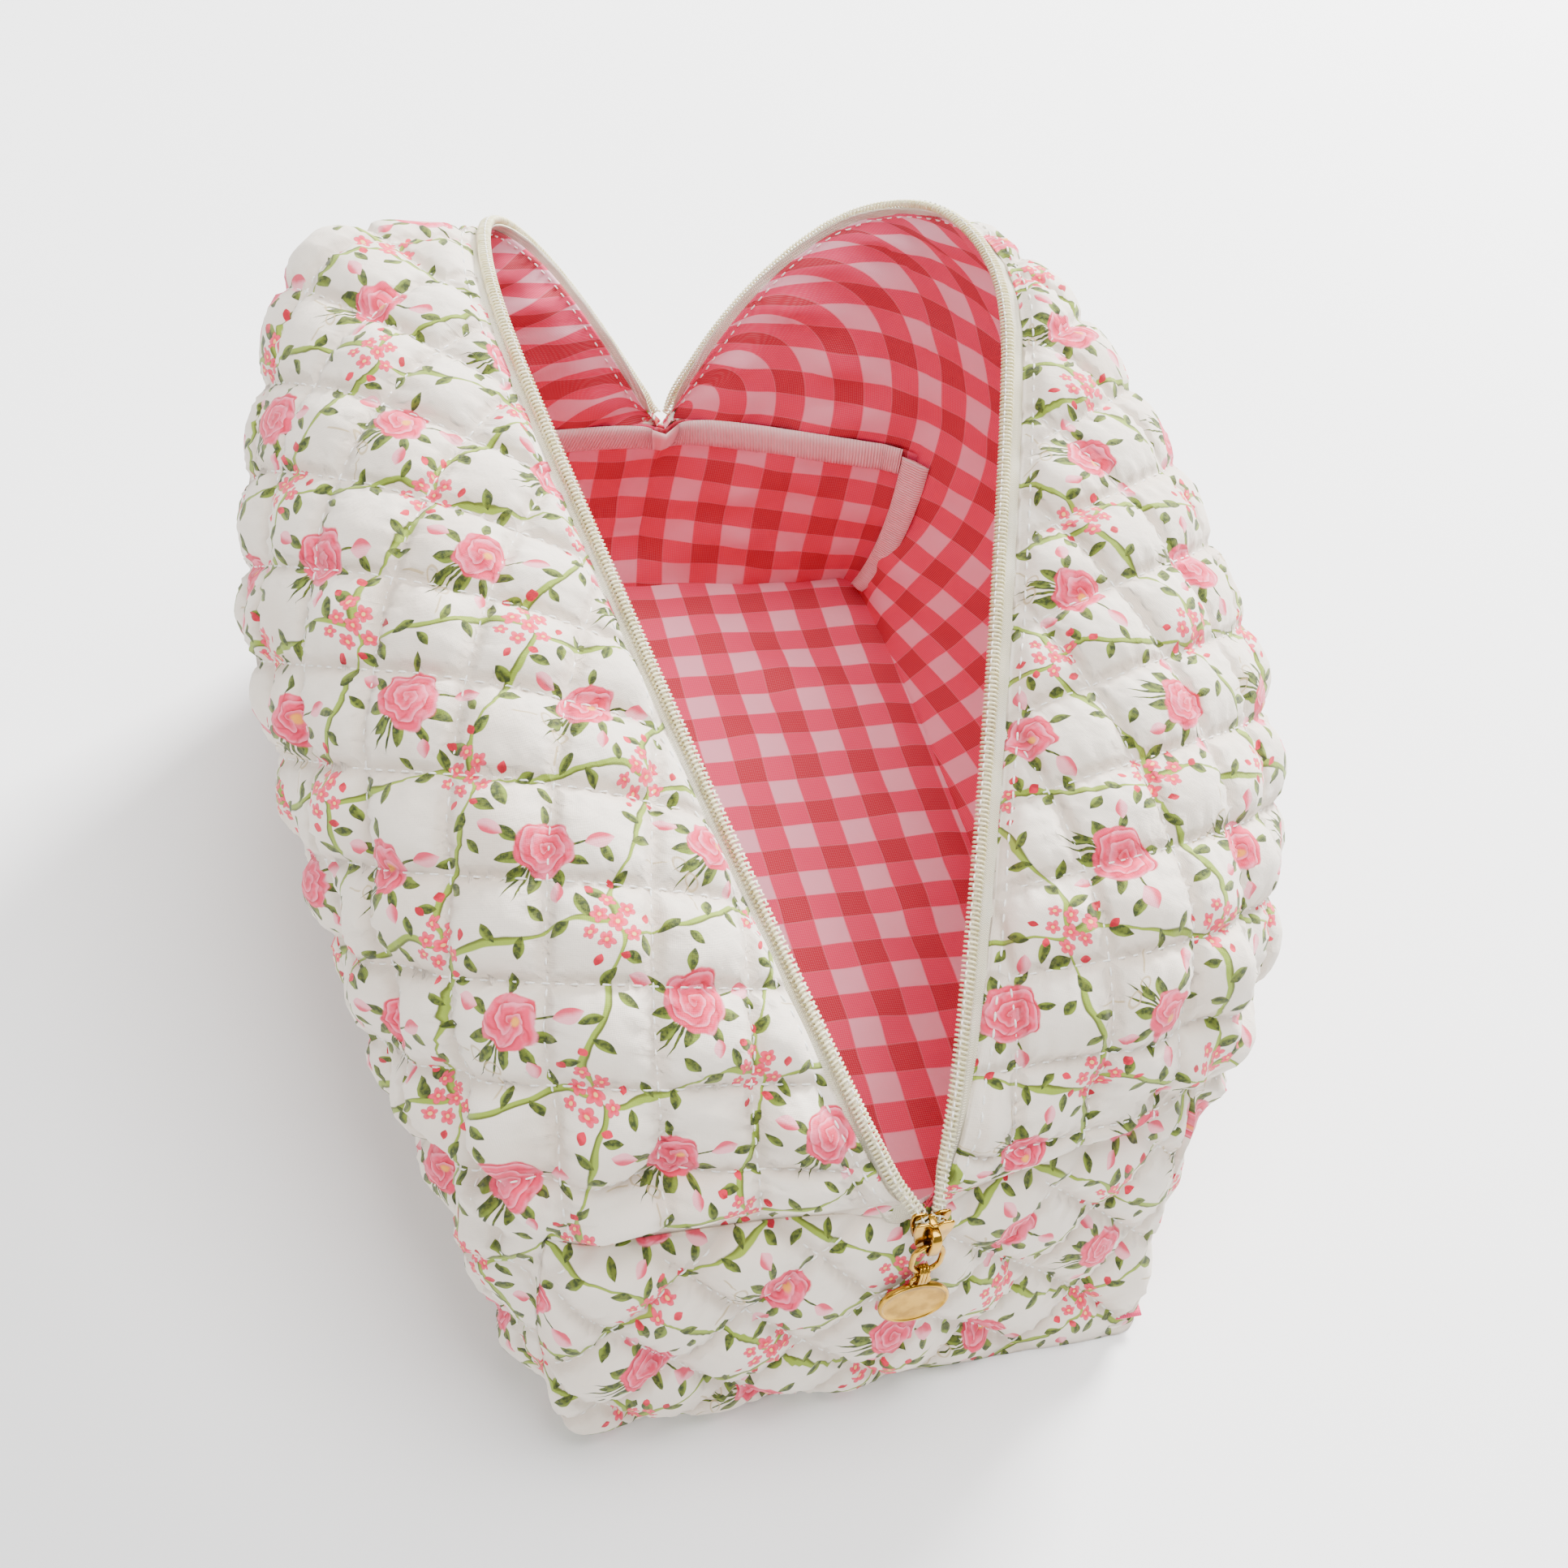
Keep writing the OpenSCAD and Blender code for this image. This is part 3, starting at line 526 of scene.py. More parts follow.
    # the rose itself: petals wound in a spiral, fuller and open on every other one
    ax, ay = rx - 1.0, ry + 0.2
    r = (ax * ax + ay * ay).sqrt()
    ang = ay.atan2(ax)
    wob = (ang * 5 + par * 1.7).sin() * 0.05 + (ang * 3 + 0.7).sin() * 0.04 + (ang * 9 + par).sin() * 0.03
    wob = wob + (1.02 - par * 0.08) + (blot - 0.5) * 0.25
    q = r / (wob * 8.4)
    rose = q.step(1.03, 0.95)
    turn = ang / TAU
    sp = (q * (3.2 - par * 0.9) + turn * (1.0 + par) + (ang * 3).sin() * 0.12 + (blot - 0.5) * 0.35).fract()
    pl = ((turn * 5 + q * 1.3).fract() - 0.5).abs().step(0.38, 0.5) * q.step(0.42, 0.58)
    light, mid, deep = srgb(248, 140, 162), srgb(236, 56, 94), srgb(192, 4, 46)
    rc = m.mix(mid, light, sp.step(0.55, 0.95) * 0.95)
    rc = m.mix(rc, deep, sp.step(0.36, 0.0) * 0.8)
    rc = m.mix(rc, deep, pl * 0.65)
    rc = m.mix(rc, deep, q.step(0.5, 0.08) * 0.5)
    rc = m.mix(rc, light, blot.step(0.48, 0.66) * 0.45)
    hx, hy = ax - 1.6, ay + 1.0
    rc = m.mix(rc, srgb(244, 168, 62), (hx * hx + hy * hy).sqrt().step(1.9, 0.8) * par * 0.95)
    rc = m.mix(rc, deep, q.step(0.9, 1.0) * 0.3)
    col = m.mix(col, rc, rose)
    m.color(col)
    m.set("Roughness", fine * 0.14 + 0.76)
    m.bump(weave(x0, y0), 0.00007, 0.5)
    m.bump(m.noise(co, 150.0, 4.0, 0.55), 0.0011, 0.6)
    m.bump(gap.step(0.0, 3.2), 0.0011, 0.8)
    return m.m


def check_material():
    m = Mat("check_cotton", rough=0.7)
    x, y, co = m.uv()
    wx, wy, _ = m.noise(co, 40.0, 2.0, 0.5, "Color")
    sq = 10.5
    a = (((x + wx * 0.8) / (2 * sq)).fract() - 0.5).abs().step(0.235, 0.265)
    b = (((y + wy * 0.8) / (2 * sq)).fract() - 0.5).abs().step(0.235, 0.265)
    both = a * b
    col = m.mix(srgb(246, 182, 198), srgb(230, 44, 98), a + b - both * 2)
    col = m.mix(col, srgb(188, 0, 50), both)
    fx = (x * (TAU / 0.7)).sin() * 0.5 + 0.5
    fy = (y * (TAU / 0.7)).sin() * 0.5 + 0.5
    col = m.mix(col, srgb(252, 226, 226), fx * fy * 0.18)
    m.color(col)
    m.bump(weave(x, y, 0.5), 0.00006, 0.5)
    m.bump(m.noise(co, 120.0, 3.0, 0.5), 0.0008, 0.4)
    return m.m


def woven_tape_material(name, rough, ribs, light, dark, worn, spots, low, high, deep):
    """A narrow woven tape. ribs gives 0 to 1 across its ribs, which are dark below low and light above high: the dark
    colour is painted shade in the grooves, following the same height as the bump.
    """
    m = Mat(name, rough=rough)
    x, y, co = m.uv()
    h = ribs(x, y)
    # painted shade: the grooves between the ribs are darkened towards the dark colour
    col = m.mix(srgb(*light), srgb(*dark), h.step(high, low) * 0.6)
    m.color(m.mix(col, srgb(*worn), m.noise(co, spots, 3.0).step(0.4, 0.7) * 0.4))
    m.bump(h, deep, 0.9)
    return m.m


def zigzag(x, pitch):
    """0 to 1 and back over each pitch."""
    return ((x / pitch).fract() - 0.5).abs() * 2


def coil_material():
    m = Mat("zip_coil_nylon")
    co = m.two_tone((238, 232, 200), (214, 206, 158), 420.0)
    m.b.inputs["Subsurface Weight"].default_value = 0.25
    m.b.inputs["Subsurface Radius"].default_value = (0.002, 0.0016, 0.001)
    m.b.inputs["Subsurface Scale"].default_value = 0.5
    m.set("Roughness", m.noise(co, 900.0, 2.0) * 0.2 + 0.28)
    return m.m


def thread_material():
    m = Mat("thread", rough=0.5)
    m.two_tone((253, 252, 248), (232, 228, 218), 1500.0)
    m.b.inputs["Sheen Weight"].default_value = 0.3
    return m.m


def gold_material(name, rough, spread, grain, bump):
    m = Mat(name, Metallic=1.0)
    co = m.two_tone((190, 148, 58), (158, 118, 38), 260.0, 3.0)
    m.set("Roughness", m.noise(co, grain, 4.0) * spread + rough)
    scale, height, strength = bump
    m.bump(m.noise(co, scale, 2.0), height, strength)
    return m.m


PRINT = print_material()
CHECK = check_material()
# the second colour of this tape is painted shade in its rib grooves
TAPE = woven_tape_material(
    "zip_tape_cloth", 0.75, lambda x, y: ((x / 0.62 + zigzag(y, 1.6) * 1.1).fract() - 0.5).abs() * 2,
    (240, 232, 208), (208, 197, 166), (252, 249, 240), 60.0, 0.2, 0.75, 0.00022,
)
# the second colour of this tape is painted shade in its rib grooves
BIND = woven_tape_material(
    "seam_tape_cloth", 0.78, lambda x, y: zigzag(x, 1.1),
    (250, 226, 222), (232, 172, 174), (252, 240, 236), 80.0, 0.15, 0.7, 0.0004,
)
COIL = coil_material()
THREAD = thread_material()
GOLD = gold_material("polished_gold", 0.12, 0.22 - 0.12, 300.0, (500.0, 0.00003, 0.15))
SATIN = gold_material("satin_gold", 0.26, 0.38 - 0.26, 700.0, (2600.0, 0.00004, 0.35))

# ------------------------------------------------------------------ quilted cloth
PUFF = 4.8
EDGE_SHOW = {-1: 4.8, 1: 6.0}
bulk = field(3, 20, 0.004, 0.02)
crumple = field(11, 40, 0.02, 0.09, 0.8)
ripple = field(23, 46, 0.05, 0.16, 0.6)


def quilt(x, y, amp=PUFF):
    """Height of the stuffed diamonds at cloth place (x, y)."""
    p, q = (x + y) / QC, (x - y) / QC
    a, b = np.abs(np.sin(math.pi * p)), np.abs(np.sin(math.pi * q))
    h = (a ** 0.72) * (b ** 0.5)
    dp, dq = np.abs(p - np.round(p)), np.abs(q - np.round(q))
    near = np.minimum(dp, dq) * QC / math.sqrt(2)
    # small puckers that run across the stitch lines, deeper towards them
    along = np.where(dp < dq, x - y, x + y)
    pucker = 0.7 * np.sin(TAU * along / 7.7 + 2.4 * bulk(x, y)) + 0.4 * np.sin(TAU * along / 4.3 + 3 * bulk(y, x))
    pucker = pucker * hump(near, 6.5) * (1 - hump(near, 1.3))
    lump = 1 + 0.22 * bulk(x, y)
    return amp * h * lump + 0.6 * h * crumple(x, y) + pucker + 0.2 * ripple(x, y) * h - 0.7 * hump(near, 1.5)


def flatten(x, y, p, k, step=4, rounds=1400):
    """Cloth coordinates that keep the lengths on the surface: a coarse net of springs, pulled flat and spread back."""
    n, m = x.shape
    I = np.unique(np.r_[np.arange(0, n, step), k, n - 1 - k, n - 1])
    J = np.unique(np.r_[np.arange(0, m, step), NLOW, m - 1])
    g = np.stack([x, y], -1)[np.ix_(I, J)]
    P = p[np.ix_(I, J)]
    j0 = int(np.searchsorted(J, NLOW))
    # first guess: roll the cloth out row by row from the seam, each step at its true length and angle to the row
    first = g.copy()
    for j in range(j0, len(J) - 1):
        t3, t2 = unit(np.gradient(P[:, j], axis=0)), unit(np.gradient(first[:, j], axis=0))
        s = P[:, j + 1] - P[:, j]
        along = (s * t3).sum(1)
        up = np.sqrt(np.maximum((s * s).sum(1) - along ** 2, 0))
        first[:, j + 1] = first[:, j] + t2 * along[:, None] + np.stack([-t2[:, 1], t2[:, 0]], 1) * up[:, None]
    num = np.arange(g.shape[0] * g.shape[1]).reshape(g.shape[:2])
    a, b = [], []
    for di, dj in ((1, 0), (0, 1), (1, 1), (1, -1)):
        s = num[:num.shape[0] - di, max(0, -dj):num.shape[1] - max(0, dj)]
        e = num[di:, max(0, dj):num.shape[1] + min(0, dj)]
        a.append(s.ravel())
        b.append(e.ravel())
    a, b = np.concatenate(a), np.concatenate(b)
    # the narrow ends by the zip stops keep their first guess and follow the net beside them
    lo, hi = int(np.searchsorted(I, 0.06 * n)), int(np.searchsorted(I, 0.94 * n)) - 1
    k0, k1 = np.searchsorted(I, (k, n - 1 - k))
    row, col = np.arange(len(I))[:, None], np.arange(len(J))[None]
    net = ((row >= lo) & (row <= hi) & ((col >= j0) | ((row >= k0) & (row <= k1)))).ravel()
    use = net[a] & net[b]
    a, b = a[use], b[use]
    P = P.reshape(-1, 3)
    q = first.reshape(-1, 2).copy()
    rest = np.linalg.norm(P[b] - P[a], axis=1)
    cnt = np.maximum(np.bincount(a, minlength=len(q)) + np.bincount(b, minlength=len(q)), 1)
    vel = np.zeros_like(q)
    for _ in range(rounds):
        d = q[b] - q[a]
        ln = np.maximum(np.linalg.norm(d, axis=1), 1e-6)
        f = d * ((ln - rest) / ln * 0.5)[:, None]
        pull = np.stack([np.bincount(a, f[:, c], len(q)) - np.bincount(b, f[:, c], len(q)) for c in (0, 1)], 1)
        vel = vel * 0.88 + pull / cnt[:, None] * 1.3
        q += vel
    q = q.reshape(g.shape)
    wide = (y[:, -1] - y[:, NLOW])[I]
    for e in (lo, hi):
        move = (q - first)[e, j0:]
        for i in (range(lo) if e == lo else range(hi + 1, len(I))):
            q[i, j0:] = first[i, j0:] + move[0] + (move - move[0]) * wide[i] / wide[e]
    out = []
    for c in (0, 1):
        d = q[..., c] - g[..., c]
        d[:k0, :j0] = d[k0, :j0]
        d[k1 + 1:, :j0] = d[k1, :j0]
        r1 = np.stack([np.interp(np.arange(n), I, d[:, j]) for j in range(len(J))], 1)
        out.append(np.stack([np.interp(np.arange(m), J, r1[i]) for i in range(n)]))
    return x + out[0], y + out[1]


SIDE_NET = ((262, 46, 84))
LINING_NET = ((190, 34, 62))
NT, NLOW, _ = SIDE_NET
store = {}


def side_net(sd, size, gap, foot=0.0):
    """The rows of one side: those below the seam line first, then up to the zip, less the gap along its edge.
    x and y are distances along the cloth, from the middle of the bag and from the seam line."""
    nt, low, up = size
    t = np.linspace(0, 1, nt + 1)
    k = int(np.argmin(np.abs(t - TC)))
    t[k], t[nt - k] = TC, 1 - TC
    u = sd * t
    vs = v_seam(u)
    ve = np.maximum(v_from_edge(u, gap(np.minimum(t, 1 - t))), vs + 0.002)
    vlo, ylo = even_rows(u, 0 * vs + foot, vs, low)
    vup, yup = even_rows(u, vs, ve, up)
    v = np.concatenate([vlo, vup[:, 1:]], 1)
    y = np.concatenate([ylo - ylo[:, -1:], yup[:, 1:]], 1)
    p, n = skin(u, v)
    x = length_along(p)
    x -= x[(nt + 1) // 2]
    exist = np.ones((nt, low + up), bool)
    exist[:k, :low] = False
    exist[nt - k:, :low] = False
    return dict(t=t, v=v, x=x, y=y, p=p, n=n, k=k, d_hem=y[:, -1:] - y, exist=exist)


def end_net(far, nu, nv, foot=0.0):
    """The rows of one end panel up to its seam, with x and y along the cloth."""
    a = np.linspace(-TC, TC, nu + 1)
    u = 1 + a if far else a
    vs = v_seam(u)
    v, y = even_rows(u, 0 * vs + foot, vs, nv)
    p, n = skin(u, v)
    x = length_along(p)
    x -= x[nu // 2]
    around = 520  # mm along the panel for one unit of u
    return x, y, p, n, np.minimum(a + TC, TC - a)[:, None] * around + 0 * x


def side_shell(sd, name, outer, inner, keep, mat, *uvs):
    """A shell on one side. Columns run near to far on both sides, so the left one is turned to face outwards."""
    turn = slice(None, None, -1 if sd < 0 else 1)
    return shell(name, outer[turn], inner[turn], keep[turn], mat, *(uv[turn] for uv in uvs))


def build_side(sd):
    g = side_net(sd, SIDE_NET, lambda h: EDGE_SHOW[sd] * smooth01(h / 0.04 + 0.08))
    x, y, p, n, d_hem = g["x"], g["y"], g["p"], g["n"], g["d_hem"]
    fx, fy = flatten(x, y, p, g["k"])
    T = g["t"][:, None] + 0 * x
    # distances to the seams and the zip hem, in mm
    around = 475
    row = np.arange(x.shape[1])[None, :]
    d_seam = np.where((T < TC) | (T > 1 - TC), np.abs(y), 1e3)
    to_corner = np.minimum(np.abs(T - TC), np.abs(T - (1 - TC))) * around
    d_corner = np.where(row <= NLOW, to_corner, np.hypot(to_corner, np.maximum(y, 0)))
    d_base = y - y[:, :1]
    keep = np.clip(1 - 0.9 * hump(d_seam, 7) - 0.85 * hump(d_corner, 8), 0.05, 1)
    keep = keep * (1 - hump(d_hem, 5.0) * 0.9) * (1 - hump(d_base, 7.0) * 0.9)
    disp = quilt(fx, fy) * keep
    disp -= 2.6 * hump(d_seam, 4.0) + 2.2 * hump(d_corner, 5.0)
    disp -= 0.5 * hump(d_hem - 3.8, 1.2)
    # folds that fan out of the gathered corners, and soft cross folds on the bellied side
    for tc in (TC, 1 - TC):
        dx = (T - tc) * around
        rr = np.hypot(dx, y) + 1e-6
        fan = np.sin(np.arctan2(y, dx) * 7 + (1.3 if sd < 0 else 0.2))
        disp += 2.6 * fan * hump(rr - 26, 26) * smooth01(rr / 14)
    lean, pitch, bend, high = (0.16, 31.0, 1.1, 1.9) if sd < 0 else (-0.3, 36.0, 1.3, 1.3)
    wave = np.sin(TAU * (x + lean * y) / pitch + bend * bulk(x * 0.6, y * 0.6))
    belly = hump(y - 6, 62) * smooth01(np.minimum(T, 1 - T) / 0.22)
    disp += high * wave * belly * np.clip(keep, 0, 1)
    if sd < 0:  # the far corner of this side is pushed out
        disp += 13.0 * hump(T - 0.715, 0.06) * hump(g["v"] - 0.79, 0.13) * smooth01(d_hem / 30)
    outer = p + n * disp[..., None]
    # the hem turns over at the zip
    outer[:, -1] -= n[:, -1] * 1.6
    outer[:, -2] -= n[:, -2] * 0.35
    outer[..., 2] = np.maximum(outer[..., 2], 0.4)
    inner = p - n * (0.9 + 2.5 * smooth01(d_hem / 26))[..., None]
    inner[..., 2] = np.maximum(inner[..., 2], 0.9)
    uv = np.stack([fy + 10, fx] if sd < 0 else [33 - fy, fx + 17], -1)
    g.update(outer=outer, fx=fx, fy=fy)
    store[sd] = g
    return side_shell(sd, side_name(sd) + "_side_cloth", outer, inner, g["exist"], PRINT, uv, np.stack([fx, fy], -1))


# ------------------------------------------------------------------ stitches
def dash_mesh(dashes, r, sides=5):
    """Each dash is (points (4,3), normals (4,3)): a short thread, thick in the middle, that dips at both ends."""
    prof = np.array([0.45, 1.0, 1.0, 0.45])[:, None, None]
    dip = np.array([-0.35, 0.12, 0.12, -0.35])[:, None]
    ang = (np.arange(sides) * TAU / sides)[:, None]
    N = np.array([d[1] for d in dashes])
    P = np.array([d[0] for d in dashes]) + N * dip
    S = unit(np.cross(unit(np.gradient(P, axis=1)), N))
    V = P[:, :, None] + r * prof * (np.cos(ang) * N[:, :, None] + np.sin(ang) * S[:, :, None])
    one = ring_faces(4, sides)
    return V.reshape(-1, 3), [[a + d * 4 * sides for a in f] for d in range(len(P)) for f in one]


def cut_dashes(path, nrm, on, gap, start=0.5):
    """Stitches of length on along a path, with gaps between them."""
    run = length_along(path)
    out = []
    s = start
    while s + on < run[-1]:
        q = s + on * np.array([0, 0.3, 0.7, 1.0])
        out.append((resample(q, run, path), unit(resample(q, run, nrm))))
        s += on + gap
    return out


def quilt_lines(xs, ys, P, N, ok):
    """Paths of the quilting lines over a cloth grid. ok marks the grid points where a line may be sewn."""
    out = []
    n, m = xs.shape
    for sg in (1, -1):
        f = (xs + sg * ys) / QC
        for kk in range(int(math.floor(f.min())), int(math.ceil(f.max())) + 1):
            runs = [[]]
            for j in range(m):
                col = f[:, j]
                i = int(np.searchsorted(col, kk))
                if 0 < i < n and col[i - 1] <= kk <= col[i] and ok[i, j] and ok[i - 1, j]:
                    w = (kk - col[i - 1]) / max(col[i] - col[i - 1], 1e-9)
                    runs[-1].append([a[i - 1, j] * (1 - w) + a[i, j] * w for a in (P, N)])
                else:
                    runs.append([])
            out += [tuple(np.array(r).transpose(1, 0, 2)) for r in runs if len(r) > 3]
    return out


def stitch_object(name, lines, r=0.3, on=3.2, gap=0.9):
    dashes = [d for path, nrm in lines for d in cut_dashes(path, nrm, on, gap)]
    return make(name, *dash_mesh(dashes, r), THREAD)


def hem_line(g, face, depth, sign=1):
    """A path along the zip hem, depth mm from its edge, with its normals."""
    rows = np.nonzero((g["t"] > 0.022) & (g["t"] < 0.978))[0]
    line = lambda a: np.array([resample(depth, g["d_hem"][i][::-1], a[i][::-1]) for i in rows])
    return line(face), sign * line(g["n"])


def side_stitches(sd):
    """The quilting thread of one side and the topstitching beside the zip."""
    g = store[sd]
    k = g["k"]
    ok = np.ones(g["x"].shape, bool)
    ok[:k + 1, :NLOW + 1] = False
    ok[NT - k:, :NLOW + 1] = False
    ok[:, 0] = False
    ok &= g["d_hem"] > 4.5
    lines = quilt_lines(g["fx"], g["fy"], g["outer"], g["n"], ok)
    return [
        stitch_object(side_name(sd) + "_quilting_thread", lines),
        stitch_object(side_name(sd) + "_top_thread", [hem_line(g, g["outer"], 3.8)], 0.34, 3.2, 1.3),
    ]


# ------------------------------------------------------------------ end panels and base
def build_end(far):
    name = "far_end" if far else "near_end"
    x, y, p, n, d_side = end_net(far, *(((130, 60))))
    d_top = y[:, -1:] - y
    qx, qy = x + 9, y + 13
    keep = np.clip(1 - 0.9 * hump(d_top, 7) - 0.85 * hump(d_side, 8) - 0.9 * hump(y, 7), 0.05, 1)
    disp = quilt(qx, qy) * keep - 2.6 * hump(d_top, 4) - 2.2 * hump(d_side, 5)
    if not far:  # flatter behind the slider and the hanging pull
        clear = np.exp(-((p[..., 0] / 16) ** 4)) * smooth01((p[..., 2] - 38) / 14)
        disp = disp * (1 - clear) + np.minimum(disp, 0.3) * clear
    outer = p + n * disp[..., None]
    outer[..., 2] = np.maximum(outer[..., 2], 0.4)
    inner = p - n * 3.4
    inner[..., 2] = np.maximum(inner[..., 2], 0.9)
    all_cells = np.ones((x.shape[0] - 1, x.shape[1] - 1), bool)
    sewn = np.stack([qx, qy], -1)
    ob = shell(name + "_cloth", outer, inner, all_cells, PRINT, np.stack([x + 20, y + 8], -1), sewn)
    ok = (d_top > 3) & (y > 3) & (d_side > 3)
    return [ob, stitch_object(name + "_quilting_thread", quilt_lines(qx, qy, outer, n, ok))]


def build_base():
    nx, ny = ((100, 180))
    hx, hy, rc = W / 2 - 1.2, L / 2 - 1.2, RC - 1.2
    X, Y = np.meshgrid(np.linspace(-1, 1, nx + 1), np.linspace(-1, 1, ny + 1), indexing="ij")
    # square grid pulled in at the rounded corners
    px, py = X * hx, Y * hy
    cx, cy = np.maximum(np.abs(px) - (hx - rc), 0), np.maximum(np.abs(py) - (hy - rc), 0)
    ln = np.hypot(cx, cy)
    s = np.where(ln > 0, np.maximum(cx, cy) / np.maximum(ln, 1e-9), 1)
    px = np.sign(px) * (np.minimum(np.abs(px), hx - rc) + cx * s)
    py = np.sign(py) * (np.minimum(np.abs(py), hy - rc) + cy * s)
    d = np.minimum(hx - np.abs(px), hy - np.abs(py))
    low = 1.9 - np.clip(quilt(px, py, 1.5), 0, 1.9) * (1 - hump(d, 6))
    outer = np.stack([px, py, np.maximum(low, 0.0)], -1)
    inner = np.stack([px, py, 0 * px + 3.8], -1)
    uv = np.stack([px, py], -1)[:, ::-1]
    return shell("base_cloth", outer[:, ::-1], inner[:, ::-1], np.ones((nx, ny), bool), PRINT, uv, uv)


def flat_area(ob):
    """Half the skin of a thin closed shell, in square metres."""
    return sum(f.area for f in ob.data.polygons) / 2


lin_big = field(41, 18, 0.006, 0.018)
lin_small = field(57, 40, 0.02, 0.07, 0.9)


def build_side_lining(sd):
    g = side_net(sd, LINING_NET, lambda h: 3.6 * smooth01(h / 0.03 + 0.1), 0.01)
    x, y, p, n, d_hem = g["x"], g["y"], g["p"], g["n"], g["d_hem"]
    up = y - y[:, :1]
    # long loose folds running down from the zip
    w = 1.1 * lin_big(x, y) + 0.75 * lin_small(x, y)
    w += 1.2 * np.sin(TAU * x / 27 + 1.5 * lin_big(x * 0.5, y * 0.5)) * hump(d_hem, 45)
    gather = smooth01(d_hem / 16) * smooth01(up / 16)
    depth = 2.0 + 2.6 * smooth01(d_hem / 14) - 0.7 * (1 - smooth01(up / 9)) + np.clip(w + 1.2, 0, 3.6) * gather
    face, back = p - n * depth[..., None], p - n * (depth - 0.6)[..., None]
    for a in (face, back):
        a[..., 2] = np.maximum(a[..., 2], 1.6)
    ob = side_shell(sd, side_name(sd) + "_side_lining", back, face, g["exist"], CHECK, np.stack([x, y], -1))
    # edge stitching that holds the lining to the zip tape
    return ob, stitch_object(side_name(sd) + "_lining_thread", [hem_line(g, face, 2.2, -1)], 0.28, 2.8, 1.2)


def build_end_lining(far):
    x, y, p, n, d_side = end_net(far, *(((100, 40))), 0.01)
    w = 1.0 * lin_big(x + 300, y) + 0.7 * lin_small(x + 300, y)
    fade = smooth01((y[:, -1:] - y) / 10) * smooth01(d_side / 10)
    depth = 4.6 + np.clip(w + 1.0, 0, 3.2) * fade
    face, back = p - n * depth[..., None], p - n * (depth - 0.6)[..., None]
    for q in (face, back):
        q[..., 2] = np.maximum(q[..., 2], 2.4)
    all_cells = np.ones((x.shape[0] - 1, x.shape[1] - 1), bool)
    name = ("far" if far else "near") + "_end_lining_cloth"
    return shell(name, back, face, all_cells, CHECK, np.stack([x + 4, y], -1))


def build_base_lining():
    nx, ny = ((96, 176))
    hx, hy = W / 2 - 2.0, L / 2 - 2.5
    X, Y = np.meshgrid(np.linspace(-hx, hx, nx + 1), np.linspace(-hy, hy, ny + 1), indexing="ij")
    d = np.minimum(hx - np.abs(X), hy - np.abs(Y))
    X = X * (1 + 6.0 / hx * (1 - (Y / hy) ** 2))
    z = 5.0 + np.clip(0.9 + 0.7 * lin_big(X, Y) + 0.5 * lin_small(X, Y), 0, 3) * smooth01(d / 12)
    top = np.stack([X, Y, z + 0.6], -1)
    low = np.stack([X, Y, z], -1)
    return shell("base_lining_cloth", top, low, np.ones((nx, ny), bool), CHECK, np.stack([X, Y], -1))


# ------------------------------------------------------------------ seam tapes
def band(name, p, n, depth, w, u, v):
    """A slightly crowned tape, depth inside the skin at p. w runs from -1 to 1 across it; u and v are its UVs."""
    back = p - n * depth
    face = back - n * (1.3 * (1 - w ** 4) + 0.15)[..., None]
    uv = np.stack([u + 0 * v, v + 0 * u], -1)
    return shell(name, back, face, np.ones((p.shape[0] - 1, p.shape[1] - 1), bool), BIND, uv)


def build_end_binding(far):
    a = np.linspace(-(TC - 0.012), TC - 0.012, 131)
    u = 1 + a if far else a
    rows = np.linspace(-6, 6, 9)
    got = [skin(u, v_seam(u, SEAM_Z - 5 + dz)[:, None]) for dz in rows]
    p, n = (np.concatenate([q[i] for q in got], 1) for i in (0, 1))
    x = length_along(p[:, 4])[:, None]
    wobble = 0.2 * lin_big(x + 100, rows[None] * 0)
    return band(("far" if far else "near") + "_seam_tape", p, n, 6.2 + wobble[..., None], rows[None] / 6, x, rows[None])


def build_corner_binding(name, u0):
    z = np.linspace(9, 84, 61)
    across = np.linspace(-1, 1, 7)
    us = [np.full(len(z), u0 + 0.0115 * w) for w in across]
    got = [skin(u[:1], v_seam(u, z)[None]) for u in us]
    p, n = (np.concatenate([q[i] for q in got]) for i in (0, 1))
    return band(name, p, n, 6.4, across[:, None], z[None], across[:, None] * 6)


# ------------------------------------------------------------------ zip
SL_Y = 166.05  # middle of the slider's channel
MOUTH = 0.034  # share of the lip, at the near end, over which the zip swings out to the slider


def coil_path(sd, n):
    """Centre of the coil with its outward normal: along the lip, and down into the slider at the near end."""
    t = np.linspace(0.0, 1.0, n)
    u = sd * np.clip(t, 0.004, 0.996)
    v = v_from_edge(u, 1.7 * smooth01(np.minimum(t, 1 - t) / 0.02))
    p, nn = skin(u, v[:, None])
    p, nn = p[:, 0] + nn[:, 0] * 0.9, nn[:, 0]
    # near end: swing out to the slider's mouth and run down inside it
    k = 1 - smooth01(t / MOUTH)[:, None]
    s = np.clip(t / MOUTH, 0, 1)
    tgt = np.stack([sd * (1.75 + 1.6 * s ** 2), -SL_Y + 0 * s, 85.0 + 17.0 * s], 1)
    p = p * (1 - k) + tgt * k
    nn = nn * (1 - k) + np.array([0, -1.0, 0]) * k
    # far end: the two coils stand side by side
    p = p + (1 - smooth01((1 - t) / 0.03))[:, None] * np.array([sd * 1.6, 0, 0])
    return t, p, unit(nn)


